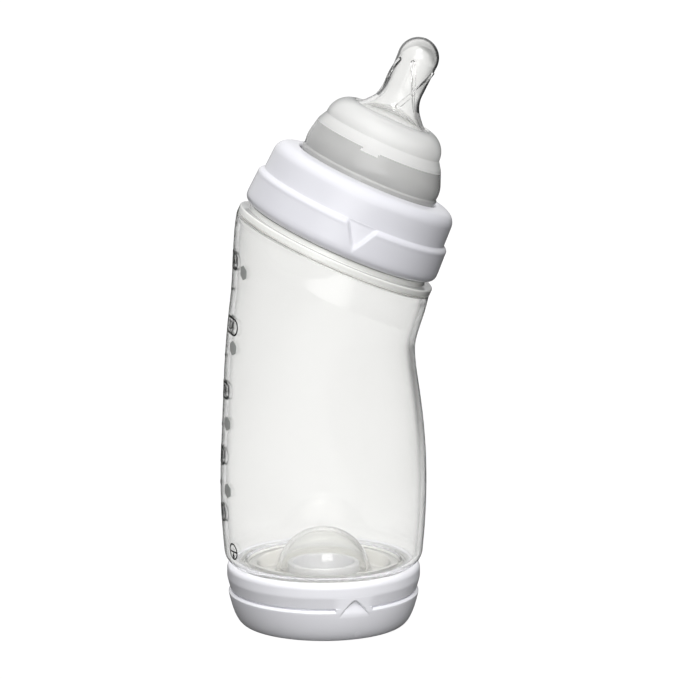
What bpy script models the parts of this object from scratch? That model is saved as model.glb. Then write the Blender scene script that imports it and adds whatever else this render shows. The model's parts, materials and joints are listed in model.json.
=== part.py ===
"""Angled wide-neck baby bottle, built at rest as five separate pieces.

Run with: blender --background --python part.py

The bottle stands on the world origin with its upright base axis on +Z, and its neck leans towards +X.
From the table up: a white base cap, a silicone vent disc seated in it, the clear bottle body that is
open at both ends, a silicone nipple, and the white collar that clamps the nipple on the leaning neck.
Both caps are turned pieces that screw on; their threads are left to the finishing model, so the necks
are plain here and a ring of free space is kept for the threads.

Lengths are in metres. Profiles are lists of (radius, height) pairs that run down the outer side.
"""

import math

import bmesh
import bpy
from mathutils import Matrix, Vector

MM = 0.001

# ---------------------------------------------------------------- driving sizes
SIDES = 40                        # facets round every turned piece
SEAT_GAP = 0.3 * MM               # between two faces that touch
SLIDE_GAP = 0.4 * MM              # between two walls that slide past each other

# Bottle body
BODY_WALL = 1.6 * MM
NECK_WALL = 1.7 * MM
BELLY_RADIUS = 30.5 * MM
BELLY_HEIGHT = 42.6 * MM          # widest level above the table
FOOT_TUCK = 1.0 * MM              # how far the foot pulls in from the belly
FOOT_CORNER_HEIGHT = 5.2 * MM
FOOT_LAND = 0.2 * MM              # flat ring between the base neck and the corner
WAIST_DEPTH = 2.7 * MM            # how far the waist pulls in from the belly
WAIST_HEIGHT = 89.6 * MM
BASE_MOUTH_RADIUS = 22.9 * MM
BASE_NECK_LENGTH = 11.3 * MM
NECK_TILT = math.radians(24.0)    # from upright, towards +X
TILT_START = 59.6 * MM            # height where the sections begin to tip
LEAN_START = 77.6 * MM            # height where their centres begin to move over
LEAN_POWER = 2.4                  # how late they do so; 1 would be a straight line
BACK_SWAY = 0.6 * MM              # the waist's centre lies this far behind the base axis
SWAY_START = 50.0 * MM
NECK_OFFSET = 2.8 * MM            # centre of the shoulder plane, from the base axis
SHOULDER_HEIGHT = 110.4 * MM      # and its height
LEDGE_HEIGHT = 2.8 * MM           # upright band under the collar
LEDGE_PROUD = 0.4 * MM            # how far the band stands out past the collar
LEDGE_ROUND = 0.6 * MM
BEAD_HEIGHT = 1.5 * MM            # ring that the collar comes down on
BEAD_STEP = 0.5 * MM              # how far the ring reaches under the collar's wall
TOP_NECK_RADIUS = 24.4 * MM       # inside the drinking neck
TOP_NECK_LENGTH = 16.7 * MM
NECK_EDGE = 0.4 * MM              # bevel on the open end of each neck

THREAD_SPACE = 1.4 * MM           # ring of room for the threads between each neck and its cap

# Collar
COLLAR_WALL = 2.8 * MM
COLLAR_PLATE = 2.2 * MM           # top plate that clamps the nipple
COLLAR_HOLE_RADIUS = 21.6 * MM
COLLAR_CROWN_DROP = 0.9 * MM      # the plate falls this far towards its rounded edge
COLLAR_CROWN_ROUND = 2.6 * MM
COLLAR_BAND_HEIGHT = 10.6 * MM    # from the hole's rim down to the step
COLLAR_BAND_TAPER = 0.4 * MM      # the upper band narrows this much towards its top
COLLAR_STEP = 1.7 * MM            # the upper band is this much slimmer than the lower
COLLAR_STEP_DROP = 1.3 * MM       # height of the rounded lip below the step
COLLAR_SKIRT_ROUND = 2.2 * MM
COLLAR_MARK_ANGLE = math.radians(5.0)

# Nipple
FLANGE_THICKNESS = 1.8 * MM
NIPPLE_WALL = 1.5 * MM
NIPPLE_BAND_HEIGHT = 9.7 * MM     # clear band above the collar
NIPPLE_BAND_TUCK = 1.9 * MM       # the band's top pulls in this far
NIPPLE_BAND_BEND = 5.9 * MM       # height over which it does so
NIPPLE_BAND_RAMP = 2.4 * MM       # height of the slope from the band in to the dome
DOME_RADIUS = 17.9 * MM
DOME_ROUND = 6.6 * MM
DOME_SLOPE = 14.0                 # degrees that the dome falls away at the crease
DOME_HEIGHT = 18.8 * MM           # crease between dome and teat, above the collar
TEAT_FLARE = 8.6 * MM             # radius of the hollow curve from dome to teat
TEAT_WAIST_RADIUS = 5.6 * MM
BULB_RADIUS = 6.05 * MM
TEAT_HEIGHT = 43.1 * MM           # tip above the collar
FEED_HOLE_RADIUS = 0.6 * MM

# Base cap
CAP_WALL = 2.7 * MM
CAP_FLOOR = 1.8 * MM
CAP_RECESS = 0.6 * MM             # shallow panel inside the foot ring
CAP_SEAT_RISE = 1.4 * MM          # ledge that carries the vent disc
CAP_SEAT_WIDTH = 5.4 * MM
CAP_RIM_ROUND = 1.9 * MM
CAP_BAND_HEIGHT = 9.3 * MM        # height of the step between the two bands
CAP_BAND_STEP = 0.45 * MM
CAP_GROOVE = 0.7 * MM             # how much slimmer the upper band starts
CAP_FOOT_TUCK = 4.5 * MM          # from the rim in to the foot
CAP_CORNER_TUCK = 1.25 * MM       # corner that the lower band bends round: in from the lip
CAP_CORNER_HEIGHT = 1.2 * MM      # and its height above the table
CAP_FOOT_RING = 3.0 * MM
POST_WALL = 1.5 * MM              # ring that stands under the dome of the disc
POST_RISE = 4.0 * MM              # above the channel of the disc
POST_CLEARANCE = 2.4 * MM
VENT_HOLES = 8
VENT_HOLE_RADIUS = 0.9 * MM
VENT_HOLE_SIDES = 12
CAP_MARK_ANGLE = math.radians(19.0)

# Vent disc
DISC_WALL = 1.2 * MM
DISC_FLANGE = 1.7 * MM
DISC_HEIGHT = 12.1 * MM           # from the flange up to the rim
DISC_RIM_WIDTH = 2.6 * MM
DISC_EDGE = 0.5 * MM              # bevel on the rim's edges
CHANNEL_DEPTH = 3.7 * MM
BUBBLE_RADIUS = 14.2 * MM         # domed centre

# The two marks that show where the caps line up
MARK_WIDTH = 9.5 * MM
MARK_RELIEF = 0.4 * MM
MARK_ROUND = 0.14                 # corner cut of the arrows, on a triangle 1.5 high
CAP_MARK_RISE = 3.9 * MM          # tip of the cap's tongue above the step
CAP_MARK_ROOT = 1.6 * MM          # and its root below the step
COLLAR_MARK_DROP = 6.6 * MM       # tip of the collar's notch below the step

# ---------------------------------------------------------------- derived sizes
BASE_NECK_OUTER = BASE_MOUTH_RADIUS + NECK_WALL
CAP_INNER = BASE_NECK_OUTER + THREAD_SPACE
CAP_RIM_RADIUS = CAP_INNER + CAP_WALL
CAP_LIP_RADIUS = CAP_RIM_RADIUS - CAP_BAND_STEP
CAP_FOOT_RADIUS = CAP_RIM_RADIUS - CAP_FOOT_TUCK

FLOOR_TOP = CAP_RECESS + CAP_FLOOR
CAP_SEAT = FLOOR_TOP + CAP_SEAT_RISE
DISC_BOTTOM = CAP_SEAT + SEAT_GAP
DISC_FLANGE_TOP = DISC_BOTTOM + DISC_FLANGE
BASE_NECK_END = DISC_FLANGE_TOP + SEAT_GAP
BODY_FOOT = BASE_NECK_END + BASE_NECK_LENGTH
BODY_CORNER_TOP = BODY_FOOT + FOOT_CORNER_HEIGHT
CAP_TOP = BODY_FOOT - SEAT_GAP
DISC_TOP = DISC_FLANGE_TOP + DISC_HEIGHT
CHANNEL_FLOOR = DISC_TOP - CHANNEL_DEPTH

TOP_NECK_OUTER = TOP_NECK_RADIUS + NECK_WALL
COLLAR_INNER = TOP_NECK_OUTER + THREAD_SPACE
COLLAR_RADIUS = COLLAR_INNER + COLLAR_WALL
SHOULDER_RADIUS = COLLAR_RADIUS + LEDGE_PROUD
BEAD_RADIUS = COLLAR_INNER + BEAD_STEP

# Levels along the neck, measured from the shoulder plane
BEAD_TOP = LEDGE_HEIGHT + BEAD_HEIGHT
NECK_END = BEAD_TOP + TOP_NECK_LENGTH
NIPPLE_BOTTOM = NECK_END + SEAT_GAP
FLANGE_TOP = NIPPLE_BOTTOM + FLANGE_THICKNESS
PLATE_UNDER = FLANGE_TOP + SEAT_GAP
COLLAR_TOP = PLATE_UNDER + COLLAR_PLATE
COLLAR_BOTTOM = BEAD_TOP + SEAT_GAP
COLLAR_STEP_LEVEL = COLLAR_TOP - COLLAR_BAND_HEIGHT


# ---------------------------------------------------------------- outline helpers
def arc(centre, radius, start, end, steps):
    """Points on an arc; angles are in degrees, 0 outwards and 90 upwards."""
    points = []
    for i in range(steps + 1):
        angle = math.radians(start + (end - start) * i / steps)
        points.append((centre[0] + radius * math.cos(angle), centre[1] + radius * math.sin(angle)))
    return points


def oval_arc(centre, half_width, half_height, start, end, steps):
    """Points on a quarter of an ellipse, with the same angles as arc."""
    points = []
    for i in range(steps + 1):
        angle = math.radians(start + (end - start) * i / steps)
        points.append(
            (centre[0] + half_width * math.cos(angle), centre[1] + half_height * math.sin(angle))
        )
    return points


def bend(start, control, end, steps):
    """Points on a quadratic curve that leaves start towards control and arrives at end."""
    points = []
    for i in range(steps + 1):
        t = i / steps
        weights = ((1 - t) ** 2, 2 * t * (1 - t), t**2)
        points.append(
            tuple(sum(w * p[axis] for w, p in zip(weights, (start, control, end))) for axis in (0, 1))
        )
    return points


def ease(t):
    """Smooth step from 0 to 1."""
    t = min(max(t, 0.0), 1.0)
    return t * t * (3 - 2 * t)


# ---------------------------------------------------------------- scene helpers
def clear_scene():
    for obj in list(bpy.data.objects):
        bpy.data.objects.remove(obj, do_unlink=True)


def new_collection(name):
    collection = bpy.data.collections.new(name)
    bpy.context.scene.collection.children.link(collection)
    return collection


def plastic(name, colour, roughness, alpha=1.0):
    material = bpy.data.materials.new(name)
    material.use_nodes = True
    material.diffuse_color = (*colour, alpha)
    shader = material.node_tree.nodes["Principled BSDF"]
    shader.inputs["Base Color"].default_value = (*colour, 1.0)
    shader.inputs["Roughness"].default_value = roughness
    shader.inputs["Metallic"].default_value = 0.0
    shader.inputs["Alpha"].default_value = alpha
    return material


def add_object(name, mesh, collection, material=None, parent=None):
    obj = bpy.data.objects.new(name, mesh)
    collection.objects.link(obj)
    if material:
        mesh.materials.append(material)
    if parent:
        obj.parent = parent
    return obj


def outline_mesh(name, profile, closed):
    """Edges along a profile in the XZ plane, ready for a Screw modifier."""
    bm = bmesh.new()
    verts = [bm.verts.new((radius, 0.0, height)) for radius, height in profile]
    for first, second in zip(verts, verts[1:]):
        bm.edges.new((first, second))
    if closed:
        bm.edges.new((verts[-1], verts[0]))
    mesh = bpy.data.meshes.new(name)
    bm.to_mesh(mesh)
    bm.free()
    return mesh


def turned(name, profile, collection, material=None, parent=None, closed=True):
    """A profile turned once round the object's own Z axis."""
    obj = add_object(name, outline_mesh(name, profile, closed), collection, material, parent)
    screw = obj.modifiers.new("turn", "SCREW")
    screw.axis = "Z"
    screw.angle = math.tau
    screw.steps = SIDES
    screw.render_steps = SIDES
    screw.use_smooth_shade = True
    screw.use_merge_vertices = True
    screw.merge_threshold = 1e-6
    return obj


def join(obj, other, operation):
    modifier = obj.modifiers.new(f"{operation.lower()}_{other.name}", "BOOLEAN")
    modifier.operation = operation
    modifier.solver = "EXACT"
    modifier.object = other


def as_cutter(obj):
    obj.hide_render = True
    obj.display_type = "WIRE"
    return obj


def arrow_bar(name, collection, angle, reach, root, tip, parent=None):
    """A bar of triangular section that points from the level root to the level tip.

    It pokes out through a cap's wall at the front, turned by angle towards +X, to twice reach.
    """
    bm = bmesh.new()
    bmesh.ops.create_cone(bm, cap_ends=True, segments=3, radius1=1.0, radius2=1.0, depth=1.0)
    corner_edges = [edge for edge in bm.edges if abs(edge.verts[0].co.z - edge.verts[1].co.z) > 0.5]
    bmesh.ops.bevel(bm, geom=corner_edges, offset=MARK_ROUND, segments=3, profile=0.5, affect="EDGES")
    # The triangle points along +Y and reaches from -0.5 to 1; the cone's axis becomes the radial one.
    size = Matrix.Diagonal((MARK_WIDTH / math.sqrt(3), (tip - root) / 1.5, reach, 1.0))
    bm.transform(Matrix.Rotation(math.radians(90), 4, "X") @ size)
    bmesh.ops.recalc_face_normals(bm, faces=bm.faces)
    mesh = bpy.data.meshes.new(name)
    bm.to_mesh(mesh)
    bm.free()
    obj = as_cutter(add_object(name, mesh, collection, parent=parent))
    obj.location = (reach * math.sin(angle), -reach * math.cos(angle), root + (tip - root) / 3)
    obj.rotation_euler = (0.0, 0.0, angle)
    return obj


# ---------------------------------------------------------------- bottle body
def body_section(height):
    """Centre, tilt and outer radius of the body's cross-section whose centre is at this height."""
    tilt = NECK_TILT * ease((height - TILT_START) / (SHOULDER_HEIGHT - TILT_START))
    lean = max(0.0, (height - LEAN_START) / (SHOULDER_HEIGHT - LEAN_START))
    sway = min(max((height - SWAY_START) / (SHOULDER_HEIGHT - SWAY_START), 0.0), 1.0)
    shift = NECK_OFFSET * lean**LEAN_POWER - BACK_SWAY * math.sin(math.pi * sway) ** 2
    centre = Vector((shift, 0.0, height))
    if height < BELLY_HEIGHT:
        drop = (BELLY_HEIGHT - height) / (BELLY_HEIGHT - BODY_CORNER_TOP)
        radius = BELLY_RADIUS - FOOT_TUCK * drop**2
    elif height < WAIST_HEIGHT:
        radius = BELLY_RADIUS - WAIST_DEPTH * ease((height - BELLY_HEIGHT) / (WAIST_HEIGHT - BELLY_HEIGHT))
    else:
        waist = BELLY_RADIUS - WAIST_DEPTH
        flare = (height - WAIST_HEIGHT) / (SHOULDER_HEIGHT - WAIST_HEIGHT)
        radius = waist + (SHOULDER_RADIUS - waist) * ease(flare)
    return centre, tilt, radius


def body_levels():
    """Heights of the sections from the foot's corner up to the shoulder, closer where the form turns."""
    spans = (
        (BODY_CORNER_TOP, BELLY_HEIGHT, 4),
        (BELLY_HEIGHT, WAIST_HEIGHT, 8),
        (WAIST_HEIGHT, SHOULDER_HEIGHT, 7),
    )
    levels = [low + (high - low) * i / count for low, high, count in spans for i in range(count)]
    return levels + [SHOULDER_HEIGHT]


def ring(centre, tilt, radius, along=0.0):
    """Corners of one cross-section, moved along its own axis."""
    place = Matrix.Translation(centre) @ Matrix.Rotation(tilt, 4, "Y")
    return [
        place @ Vector((radius * math.cos(turn), radius * math.sin(turn), along))
        for turn in (math.tau * i / SIDES for i in range(SIDES))
    ]


def upright_rings(profile):
    return [ring(Vector((0.0, 0.0, height)), 0.0, radius) for radius, height in profile]


def neck_rings(profile):
    centre = Vector((NECK_OFFSET, 0.0, SHOULDER_HEIGHT))
    return [ring(centre, NECK_TILT, radius, level) for radius, level in profile]


def bottle_body(collection, material):
    """Even-walled loft: upright round foot, belly, waist, and a shoulder that tips over to the neck."""
    foot_radius = BELLY_RADIUS - FOOT_TUCK
    corner_radius = BASE_NECK_OUTER + FOOT_LAND
    corner_width = foot_radius - corner_radius

    outer = upright_rings(
        [
            (BASE_NECK_OUTER - NECK_EDGE, BASE_NECK_END),
            (BASE_NECK_OUTER, BASE_NECK_END + NECK_EDGE),
            (BASE_NECK_OUTER, BODY_FOOT),
        ]
        + oval_arc((corner_radius, BODY_CORNER_TOP), corner_width, FOOT_CORNER_HEIGHT, 270, 360, 5)[:-1]
    )
    inner_foot = BODY_FOOT + BODY_WALL
    inner = upright_rings(
        [(BASE_MOUTH_RADIUS, BASE_NECK_END), (BASE_MOUTH_RADIUS, inner_foot)]
        + oval_arc(
            (corner_radius, BODY_CORNER_TOP),
            corner_width - BODY_WALL,
            FOOT_CORNER_HEIGHT - BODY_WALL,
            270,
            360,
            4,
        )[:-1]
    )
    for height in body_levels():
        centre, tilt, radius = body_section(height)
        outer.append(ring(centre, tilt, radius))
        if height < SHOULDER_HEIGHT:
            inner.append(ring(centre, tilt, radius - BODY_WALL))

    outer += neck_rings(
        [(SHOULDER_RADIUS, LEDGE_HEIGHT - LEDGE_ROUND)]
        + arc((SHOULDER_RADIUS - LEDGE_ROUND, LEDGE_HEIGHT - LEDGE_ROUND), LEDGE_ROUND, 30, 90, 2)
        + [
            (BEAD_RADIUS, LEDGE_HEIGHT),
            (BEAD_RADIUS, BEAD_TOP),
            (TOP_NECK_OUTER, BEAD_TOP),
            (TOP_NECK_OUTER, NECK_END - NECK_EDGE),
            (TOP_NECK_OUTER - NECK_EDGE, NECK_END),
        ]
    )
    inner += neck_rings(
        [
            (SHOULDER_RADIUS - BODY_WALL, 0.0),
            (TOP_NECK_RADIUS, LEDGE_HEIGHT - BODY_WALL),
            (TOP_NECK_RADIUS, NECK_END),
        ]
    )

    loops = outer + inner[::-1]
    bm = bmesh.new()
    rows = [[bm.verts.new(point) for point in loop] for loop in loops]
    for row, above in zip(rows, rows[1:] + rows[:1]):
        for i in range(SIDES):
            j = (i + 1) % SIDES
            bm.faces.new((row[i], row[j], above[j], above[i]))
    bmesh.ops.recalc_face_normals(bm, faces=bm.faces)
    mesh = bpy.data.meshes.new("bottle_body")
    bm.to_mesh(mesh)
    bm.free()
    mesh.shade_smooth()
    mesh.set_sharp_from_angle(angle=math.radians(35))
    return add_object("bottle_body", mesh, collection, material)


# ---------------------------------------------------------------- collar
def collar(collection, cutters, material, neck):
    """Screw ring with a slim upper band, a proud lower skirt and an arrow notch in the step."""
    crown_edge = COLLAR_TOP - COLLAR_CROWN_DROP
    band_foot = COLLAR_RADIUS - COLLAR_STEP
    band_top = band_foot - COLLAR_BAND_TAPER
    profile = (
        [(COLLAR_HOLE_RADIUS, COLLAR_TOP)]
        + arc(
            (band_top - COLLAR_CROWN_ROUND, crown_edge - COLLAR_CROWN_ROUND),
            COLLAR_CROWN_ROUND,
            85,
            0,
            4,
        )
        + oval_arc(
            (band_foot, COLLAR_STEP_LEVEL - COLLAR_STEP_DROP),
            COLLAR_STEP,
            COLLAR_STEP_DROP,
            90,
            0,
            3,
        )
        + arc(
            (COLLAR_RADIUS - COLLAR_SKIRT_ROUND, COLLAR_BOTTOM + COLLAR_SKIRT_ROUND),
            COLLAR_SKIRT_ROUND,
            0,
            -90,
            4,
        )
        + [
            (COLLAR_INNER, COLLAR_BOTTOM),
            (COLLAR_INNER, PLATE_UNDER),
            (COLLAR_HOLE_RADIUS, PLATE_UNDER),
        ]
    )
    ring_piece = turned("collar", profile, collection, material, neck)

    notch_root = COLLAR_STEP_LEVEL + COLLAR_STEP
    notch_tip = COLLAR_STEP_LEVEL - COLLAR_MARK_DROP
    outside = COLLAR_RADIUS + COLLAR_STEP
    notch = turned(
        "collar_notch",
        [
            (outside, notch_root),
            (outside, notch_tip),
            (band_foot, notch_tip),
            (band_foot, notch_root),
        ],
        cutters,
        parent=neck,
    )
    arrow = arrow_bar(
        "collar_arrow", cutters, COLLAR_MARK_ANGLE, COLLAR_RADIUS, COLLAR_STEP_LEVEL, notch_tip, neck
    )
    join(notch, arrow, "INTERSECT")
    join(ring_piece, as_cutter(notch), "DIFFERENCE")
    return ring_piece


# ---------------------------------------------------------------- nipple
def nipple_outline(inset):
    """Side of the nipple from its tip down to its flange, moved inwards by inset."""
    tip = COLLAR_TOP + TEAT_HEIGHT
    bulb = (0.0, tip - BULB_RADIUS)
    crease = COLLAR_TOP + DOME_HEIGHT
    flare_rise = TEAT_FLARE * math.cos(math.radians(DOME_SLOPE))
    flare = (TEAT_WAIST_RADIUS + TEAT_FLARE, crease + flare_rise)
    dome = (DOME_RADIUS - DOME_ROUND, crease - DOME_ROUND)
    band_radius = COLLAR_HOLE_RADIUS - SEAT_GAP
    band_top = COLLAR_TOP + NIPPLE_BAND_HEIGHT
    bulb_radius = BULB_RADIUS - inset
    first = math.degrees(math.acos(FEED_HOLE_RADIUS / bulb_radius))
    return (
        arc(bulb, bulb_radius, first, -8, 7)
        + arc(flare, TEAT_FLARE + inset, 180, 270 - DOME_SLOPE, 5)
        + arc(dome, DOME_ROUND - inset, 90 - DOME_SLOPE, 0, 4)
        + [
            (DOME_RADIUS - inset, band_top + NIPPLE_BAND_RAMP),
            (band_radius - NIPPLE_BAND_TUCK - inset, band_top),
            (band_radius - inset, band_top - NIPPLE_BAND_BEND),
        ]
    )


def nipple(collection, material, neck):
    band_radius = COLLAR_HOLE_RADIUS - SEAT_GAP
    outer = nipple_outline(0.0) + [
        (band_radius, FLANGE_TOP),
        (TOP_NECK_OUTER, FLANGE_TOP),
        (TOP_NECK_OUTER, NIPPLE_BOTTOM),
        (band_radius - NIPPLE_WALL, NIPPLE_BOTTOM),
    ]
    inner = nipple_outline(NIPPLE_WALL)
    return turned("nipple", outer + inner[::-1], collection, material, neck)


# ---------------------------------------------------------------- base cap
def base_cap(collection, cutters, material):
    """Screw cap with a stepped side, a seat for the disc, a post ring and vent holes in its floor."""
    post_outer = BUBBLE_RADIUS - DISC_WALL - POST_CLEARANCE
    post_inner = post_outer - POST_WALL
    post_top = CHANNEL_FLOOR + POST_RISE
    seat_inner = CAP_INNER - CAP_SEAT_WIDTH
    recess_edge = CAP_FOOT_RADIUS - CAP_FOOT_RING
    profile = (
        [
            (0.0, FLOOR_TOP),
            (post_inner, FLOOR_TOP),
            (post_inner, post_top),
            (post_outer, post_top),
            (post_outer, FLOOR_TOP),
            (seat_inner, FLOOR_TOP),
            (seat_inner, CAP_SEAT),
            (CAP_INNER, CAP_SEAT),
            (CAP_INNER, CAP_TOP),
        ]
        + arc((CAP_RIM_RADIUS - CAP_RIM_ROUND, CAP_TOP - CAP_RIM_ROUND), CAP_RIM_ROUND, 90, 0, 4)
        + [(CAP_LIP_RADIUS - CAP_GROOVE + CAP_BAND_STEP, CAP_BAND_HEIGHT + CAP_GROOVE)]
        + bend(
            (CAP_LIP_RADIUS, CAP_BAND_HEIGHT),
            (CAP_LIP_RADIUS - CAP_CORNER_TUCK, CAP_CORNER_HEIGHT),
            (CAP_FOOT_RADIUS, 0.0),
            5,
        )
        + [
            (recess_edge, 0.0),
            (recess_edge - CAP_RECESS, CAP_RECESS),
            (0.0, CAP_RECESS),
        ]
    )
    cap = turned("base_cap", profile, collection, material, closed=False)

    tongue_tip = CAP_BAND_HEIGHT + CAP_MARK_RISE
    tongue_root = CAP_BAND_HEIGHT - CAP_MARK_ROOT
    tongue_radius = CAP_LIP_RADIUS + MARK_RELIEF
    buried = (CAP_INNER + CAP_LIP_RADIUS) / 2
    tongue = turned(
        "cap_tongue",
        [
            (tongue_radius, tongue_tip),
            (CAP_LIP_RADIUS, tongue_root),
            (buried, tongue_root),
            (buried, tongue_tip),
        ],
        cutters,
    )
    arrow = arrow_bar(
        "cap_arrow", cutters, CAP_MARK_ANGLE, CAP_LIP_RADIUS, tongue_root, tongue_tip
    )
    join(tongue, arrow, "INTERSECT")
    join(cap, as_cutter(tongue), "UNION")

    hole_circle = (post_outer + seat_inner) / 2
    for i in range(VENT_HOLES):
        turn = math.tau * (i + 0.5) / VENT_HOLES
        bm = bmesh.new()
        bmesh.ops.create_cone(
            bm,
            cap_ends=True,
            segments=VENT_HOLE_SIDES,
            radius1=VENT_HOLE_RADIUS,
            radius2=VENT_HOLE_RADIUS,
            depth=CAP_FLOOR * 2,
        )
        mesh = bpy.data.meshes.new(f"vent_drill_{i}")
        bm.to_mesh(mesh)
        bm.free()
        drill = as_cutter(add_object(f"vent_drill_{i}", mesh, cutters))
        drill.location = (
            hole_circle * math.cos(turn),
            hole_circle * math.sin(turn),
            (FLOOR_TOP + CAP_RECESS) / 2,
        )
        join(cap, drill, "DIFFERENCE")
    return cap


# ---------------------------------------------------------------- vent disc
def vent_disc(collection, material):
    """Soft diaphragm: clamped flange, stepped rim, sunken channel and a domed centre."""
    wall_outer = BASE_MOUTH_RADIUS - SLIDE_GAP
    wall_inner = wall_outer - DISC_WALL
    channel_outer = wall_outer - DISC_RIM_WIDTH
    outer = (
        arc((0.0, CHANNEL_FLOOR), BUBBLE_RADIUS, 90, 0, 7)
        + [
            (channel_outer - DISC_WALL, CHANNEL_FLOOR),
            (channel_outer, DISC_TOP - DISC_EDGE),
            (channel_outer + DISC_EDGE, DISC_TOP),
            (wall_outer - DISC_EDGE, DISC_TOP),
            (wall_outer, DISC_TOP - DISC_EDGE),
            (wall_outer, DISC_FLANGE_TOP),
            (BASE_NECK_OUTER, DISC_FLANGE_TOP),
            (BASE_NECK_OUTER, DISC_BOTTOM),
            (wall_inner, DISC_BOTTOM),
            (wall_inner, CHANNEL_FLOOR - DISC_WALL),
        ]
    )
    bubble_inner = BUBBLE_RADIUS - DISC_WALL
    inner = arc((0.0, CHANNEL_FLOOR), bubble_inner, 90, 0, 7)
    inner.append((bubble_inner, CHANNEL_FLOOR - DISC_WALL))
    return turned("vent_disc", outer + inner[::-1], collection, material, closed=False)


# ---------------------------------------------------------------- assembly
def main():
    clear_scene()
    parts = new_collection("baby_bottle")
    cutters = new_collection("cutters")
    white = (0.83, 0.83, 0.87)
    clear = (0.90, 0.90, 0.89)

    neck = bpy.data.objects.new("neck_axis", None)
    neck.location = (NECK_OFFSET, 0.0, SHOULDER_HEIGHT)
    neck.rotation_euler = (0.0, NECK_TILT, 0.0)
    neck.empty_display_size = SHOULDER_RADIUS
    parts.objects.link(neck)

    base_cap(parts, cutters, plastic("base_cap_polypropylene", white, 0.25))
    vent_disc(parts, plastic("vent_disc_silicone", clear, 0.35, 0.6))
    bottle_body(parts, plastic("bottle_polypropylene", clear, 0.15, 0.3))
    nipple(parts, plastic("nipple_silicone", clear, 0.3, 0.4), neck)
    collar(parts, cutters, plastic("collar_polypropylene", white, 0.25), neck)


main()
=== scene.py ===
"""Looks of the angled wide-neck baby bottle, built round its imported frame.

The frame gives the five real pieces, their joints and their places.  Each plain solid is replaced by a
finely turned or lofted mesh with what the solid leaves out: screw threads, the arrow marks' soft edges,
the frosted dome, the spiral ribs of the teat and the printed scale.

Lengths are in millimetres until a mesh is made.  A level is a height along a piece's own axis: above the
table on the base axis, and above the shoulder plane on the leaning neck axis.  A field that ends in _rows
is the longest step between two rows of a mesh, and one in _steps counts the pieces of a curve.
"""

import json
import logging
import math
from dataclasses import dataclass, replace
from enum import Enum, IntEnum
from typing import Any, Callable, Optional, Sequence

import bmesh
import bpy
import numpy as np
from mathutils import Matrix, Vector


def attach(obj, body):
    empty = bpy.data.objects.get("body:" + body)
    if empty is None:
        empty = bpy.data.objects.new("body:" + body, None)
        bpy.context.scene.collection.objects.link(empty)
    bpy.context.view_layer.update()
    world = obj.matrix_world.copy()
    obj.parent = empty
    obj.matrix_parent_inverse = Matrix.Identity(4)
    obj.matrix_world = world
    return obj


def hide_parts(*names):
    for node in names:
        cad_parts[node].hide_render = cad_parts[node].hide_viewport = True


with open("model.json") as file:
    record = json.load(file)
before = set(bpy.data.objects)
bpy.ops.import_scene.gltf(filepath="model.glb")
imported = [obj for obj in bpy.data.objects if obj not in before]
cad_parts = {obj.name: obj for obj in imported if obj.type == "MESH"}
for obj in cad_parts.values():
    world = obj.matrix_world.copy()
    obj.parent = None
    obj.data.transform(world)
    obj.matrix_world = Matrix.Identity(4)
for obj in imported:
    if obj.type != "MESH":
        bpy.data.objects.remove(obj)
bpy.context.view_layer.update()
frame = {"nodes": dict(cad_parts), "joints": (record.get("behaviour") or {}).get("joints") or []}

MM = 0.001
TINY = 1e-6                      # what counts as nothing
FULL_TURN = 2 * math.pi
FRONT = math.radians(-90)        # the side that faces the camera, counted from +X
LEFT = math.radians(180)         # the back of the leaning neck, where the scale is printed

# A rounding needs a half angle between FOLDED and STRAIGHT.  It may take SIDE_SHARE of each side, or what
# its neighbour leaves of it less SIDE_GAP if that is more.
FOLDED, STRAIGHT = 0.01, math.radians(89.5)
SIDE_SHARE, SIDE_GAP = 0.49, 0.01

Point = tuple[float, float]
Relief = Callable[[np.ndarray, float, float], np.ndarray]

log = logging.getLogger("baby_bottle")


# ------------------------------------------------------------------ outlines
@dataclass(frozen=True)
class Corner:
    """A corner of an outline, and the radius that rounds it off."""

    radius: float
    level: float
    rounding: float = 0.0


def rounded(corners: Sequence[Corner], steps: int = 7) -> list[Point]:
    """Follow an open outline and round each corner between its ends.

    Args:
        corners: The outline's corners, in order.
        steps: How many pieces each rounding has.

    Returns:
        The outline's points.
    """
    spots = [np.array((corner.radius, corner.level)) for corner in corners]
    halves, wanted = [0.0], [0.0]
    for i in range(1, len(spots) - 1):
        back, ahead = spots[i - 1] - spots[i], spots[i + 1] - spots[i]
        cosine = float(back @ ahead) / np.linalg.norm(back) / np.linalg.norm(ahead)
        halves.append(math.acos(max(-1.0, min(1.0, cosine))) / 2)
        wanted.append(corners[i].rounding / math.tan(halves[-1]) if halves[-1] > FOLDED else 0.0)
    wanted.append(0.0)
    points = [tuple(spots[0])]
    for i in range(1, len(spots) - 1):
        here, half = spots[i], halves[i]
        if corners[i].rounding <= 0 or half > STRAIGHT:
            points.append(tuple(here))
            continue
        back, ahead = spots[i - 1] - here, spots[i + 1] - here
        room_back, room_ahead = np.linalg.norm(back), np.linalg.norm(ahead)
        back, ahead = back / room_back, ahead / room_ahead
        reach = min(
            wanted[i],
            max(room_back * SIDE_SHARE, room_back - wanted[i - 1] - SIDE_GAP),
            max(room_ahead * SIDE_SHARE, room_ahead - wanted[i + 1] - SIDE_GAP),
        )
        size = reach * math.tan(half)
        middle = back + ahead
        centre = here + middle / np.linalg.norm(middle) * size / math.sin(half)
        start = here + back * reach - centre
        end = here + ahead * reach - centre
        sweep = math.atan2(start[0] * end[1] - start[1] * end[0], float(start @ end))
        for k in range(steps + 1):
            cos, sin = math.cos(sweep * k / steps), math.sin(sweep * k / steps)
            turned = (start[0] * cos - start[1] * sin, start[0] * sin + start[1] * cos)
            points.append((centre[0] + turned[0], centre[1] + turned[1]))
    points.append(tuple(spots[-1]))
    return points


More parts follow.
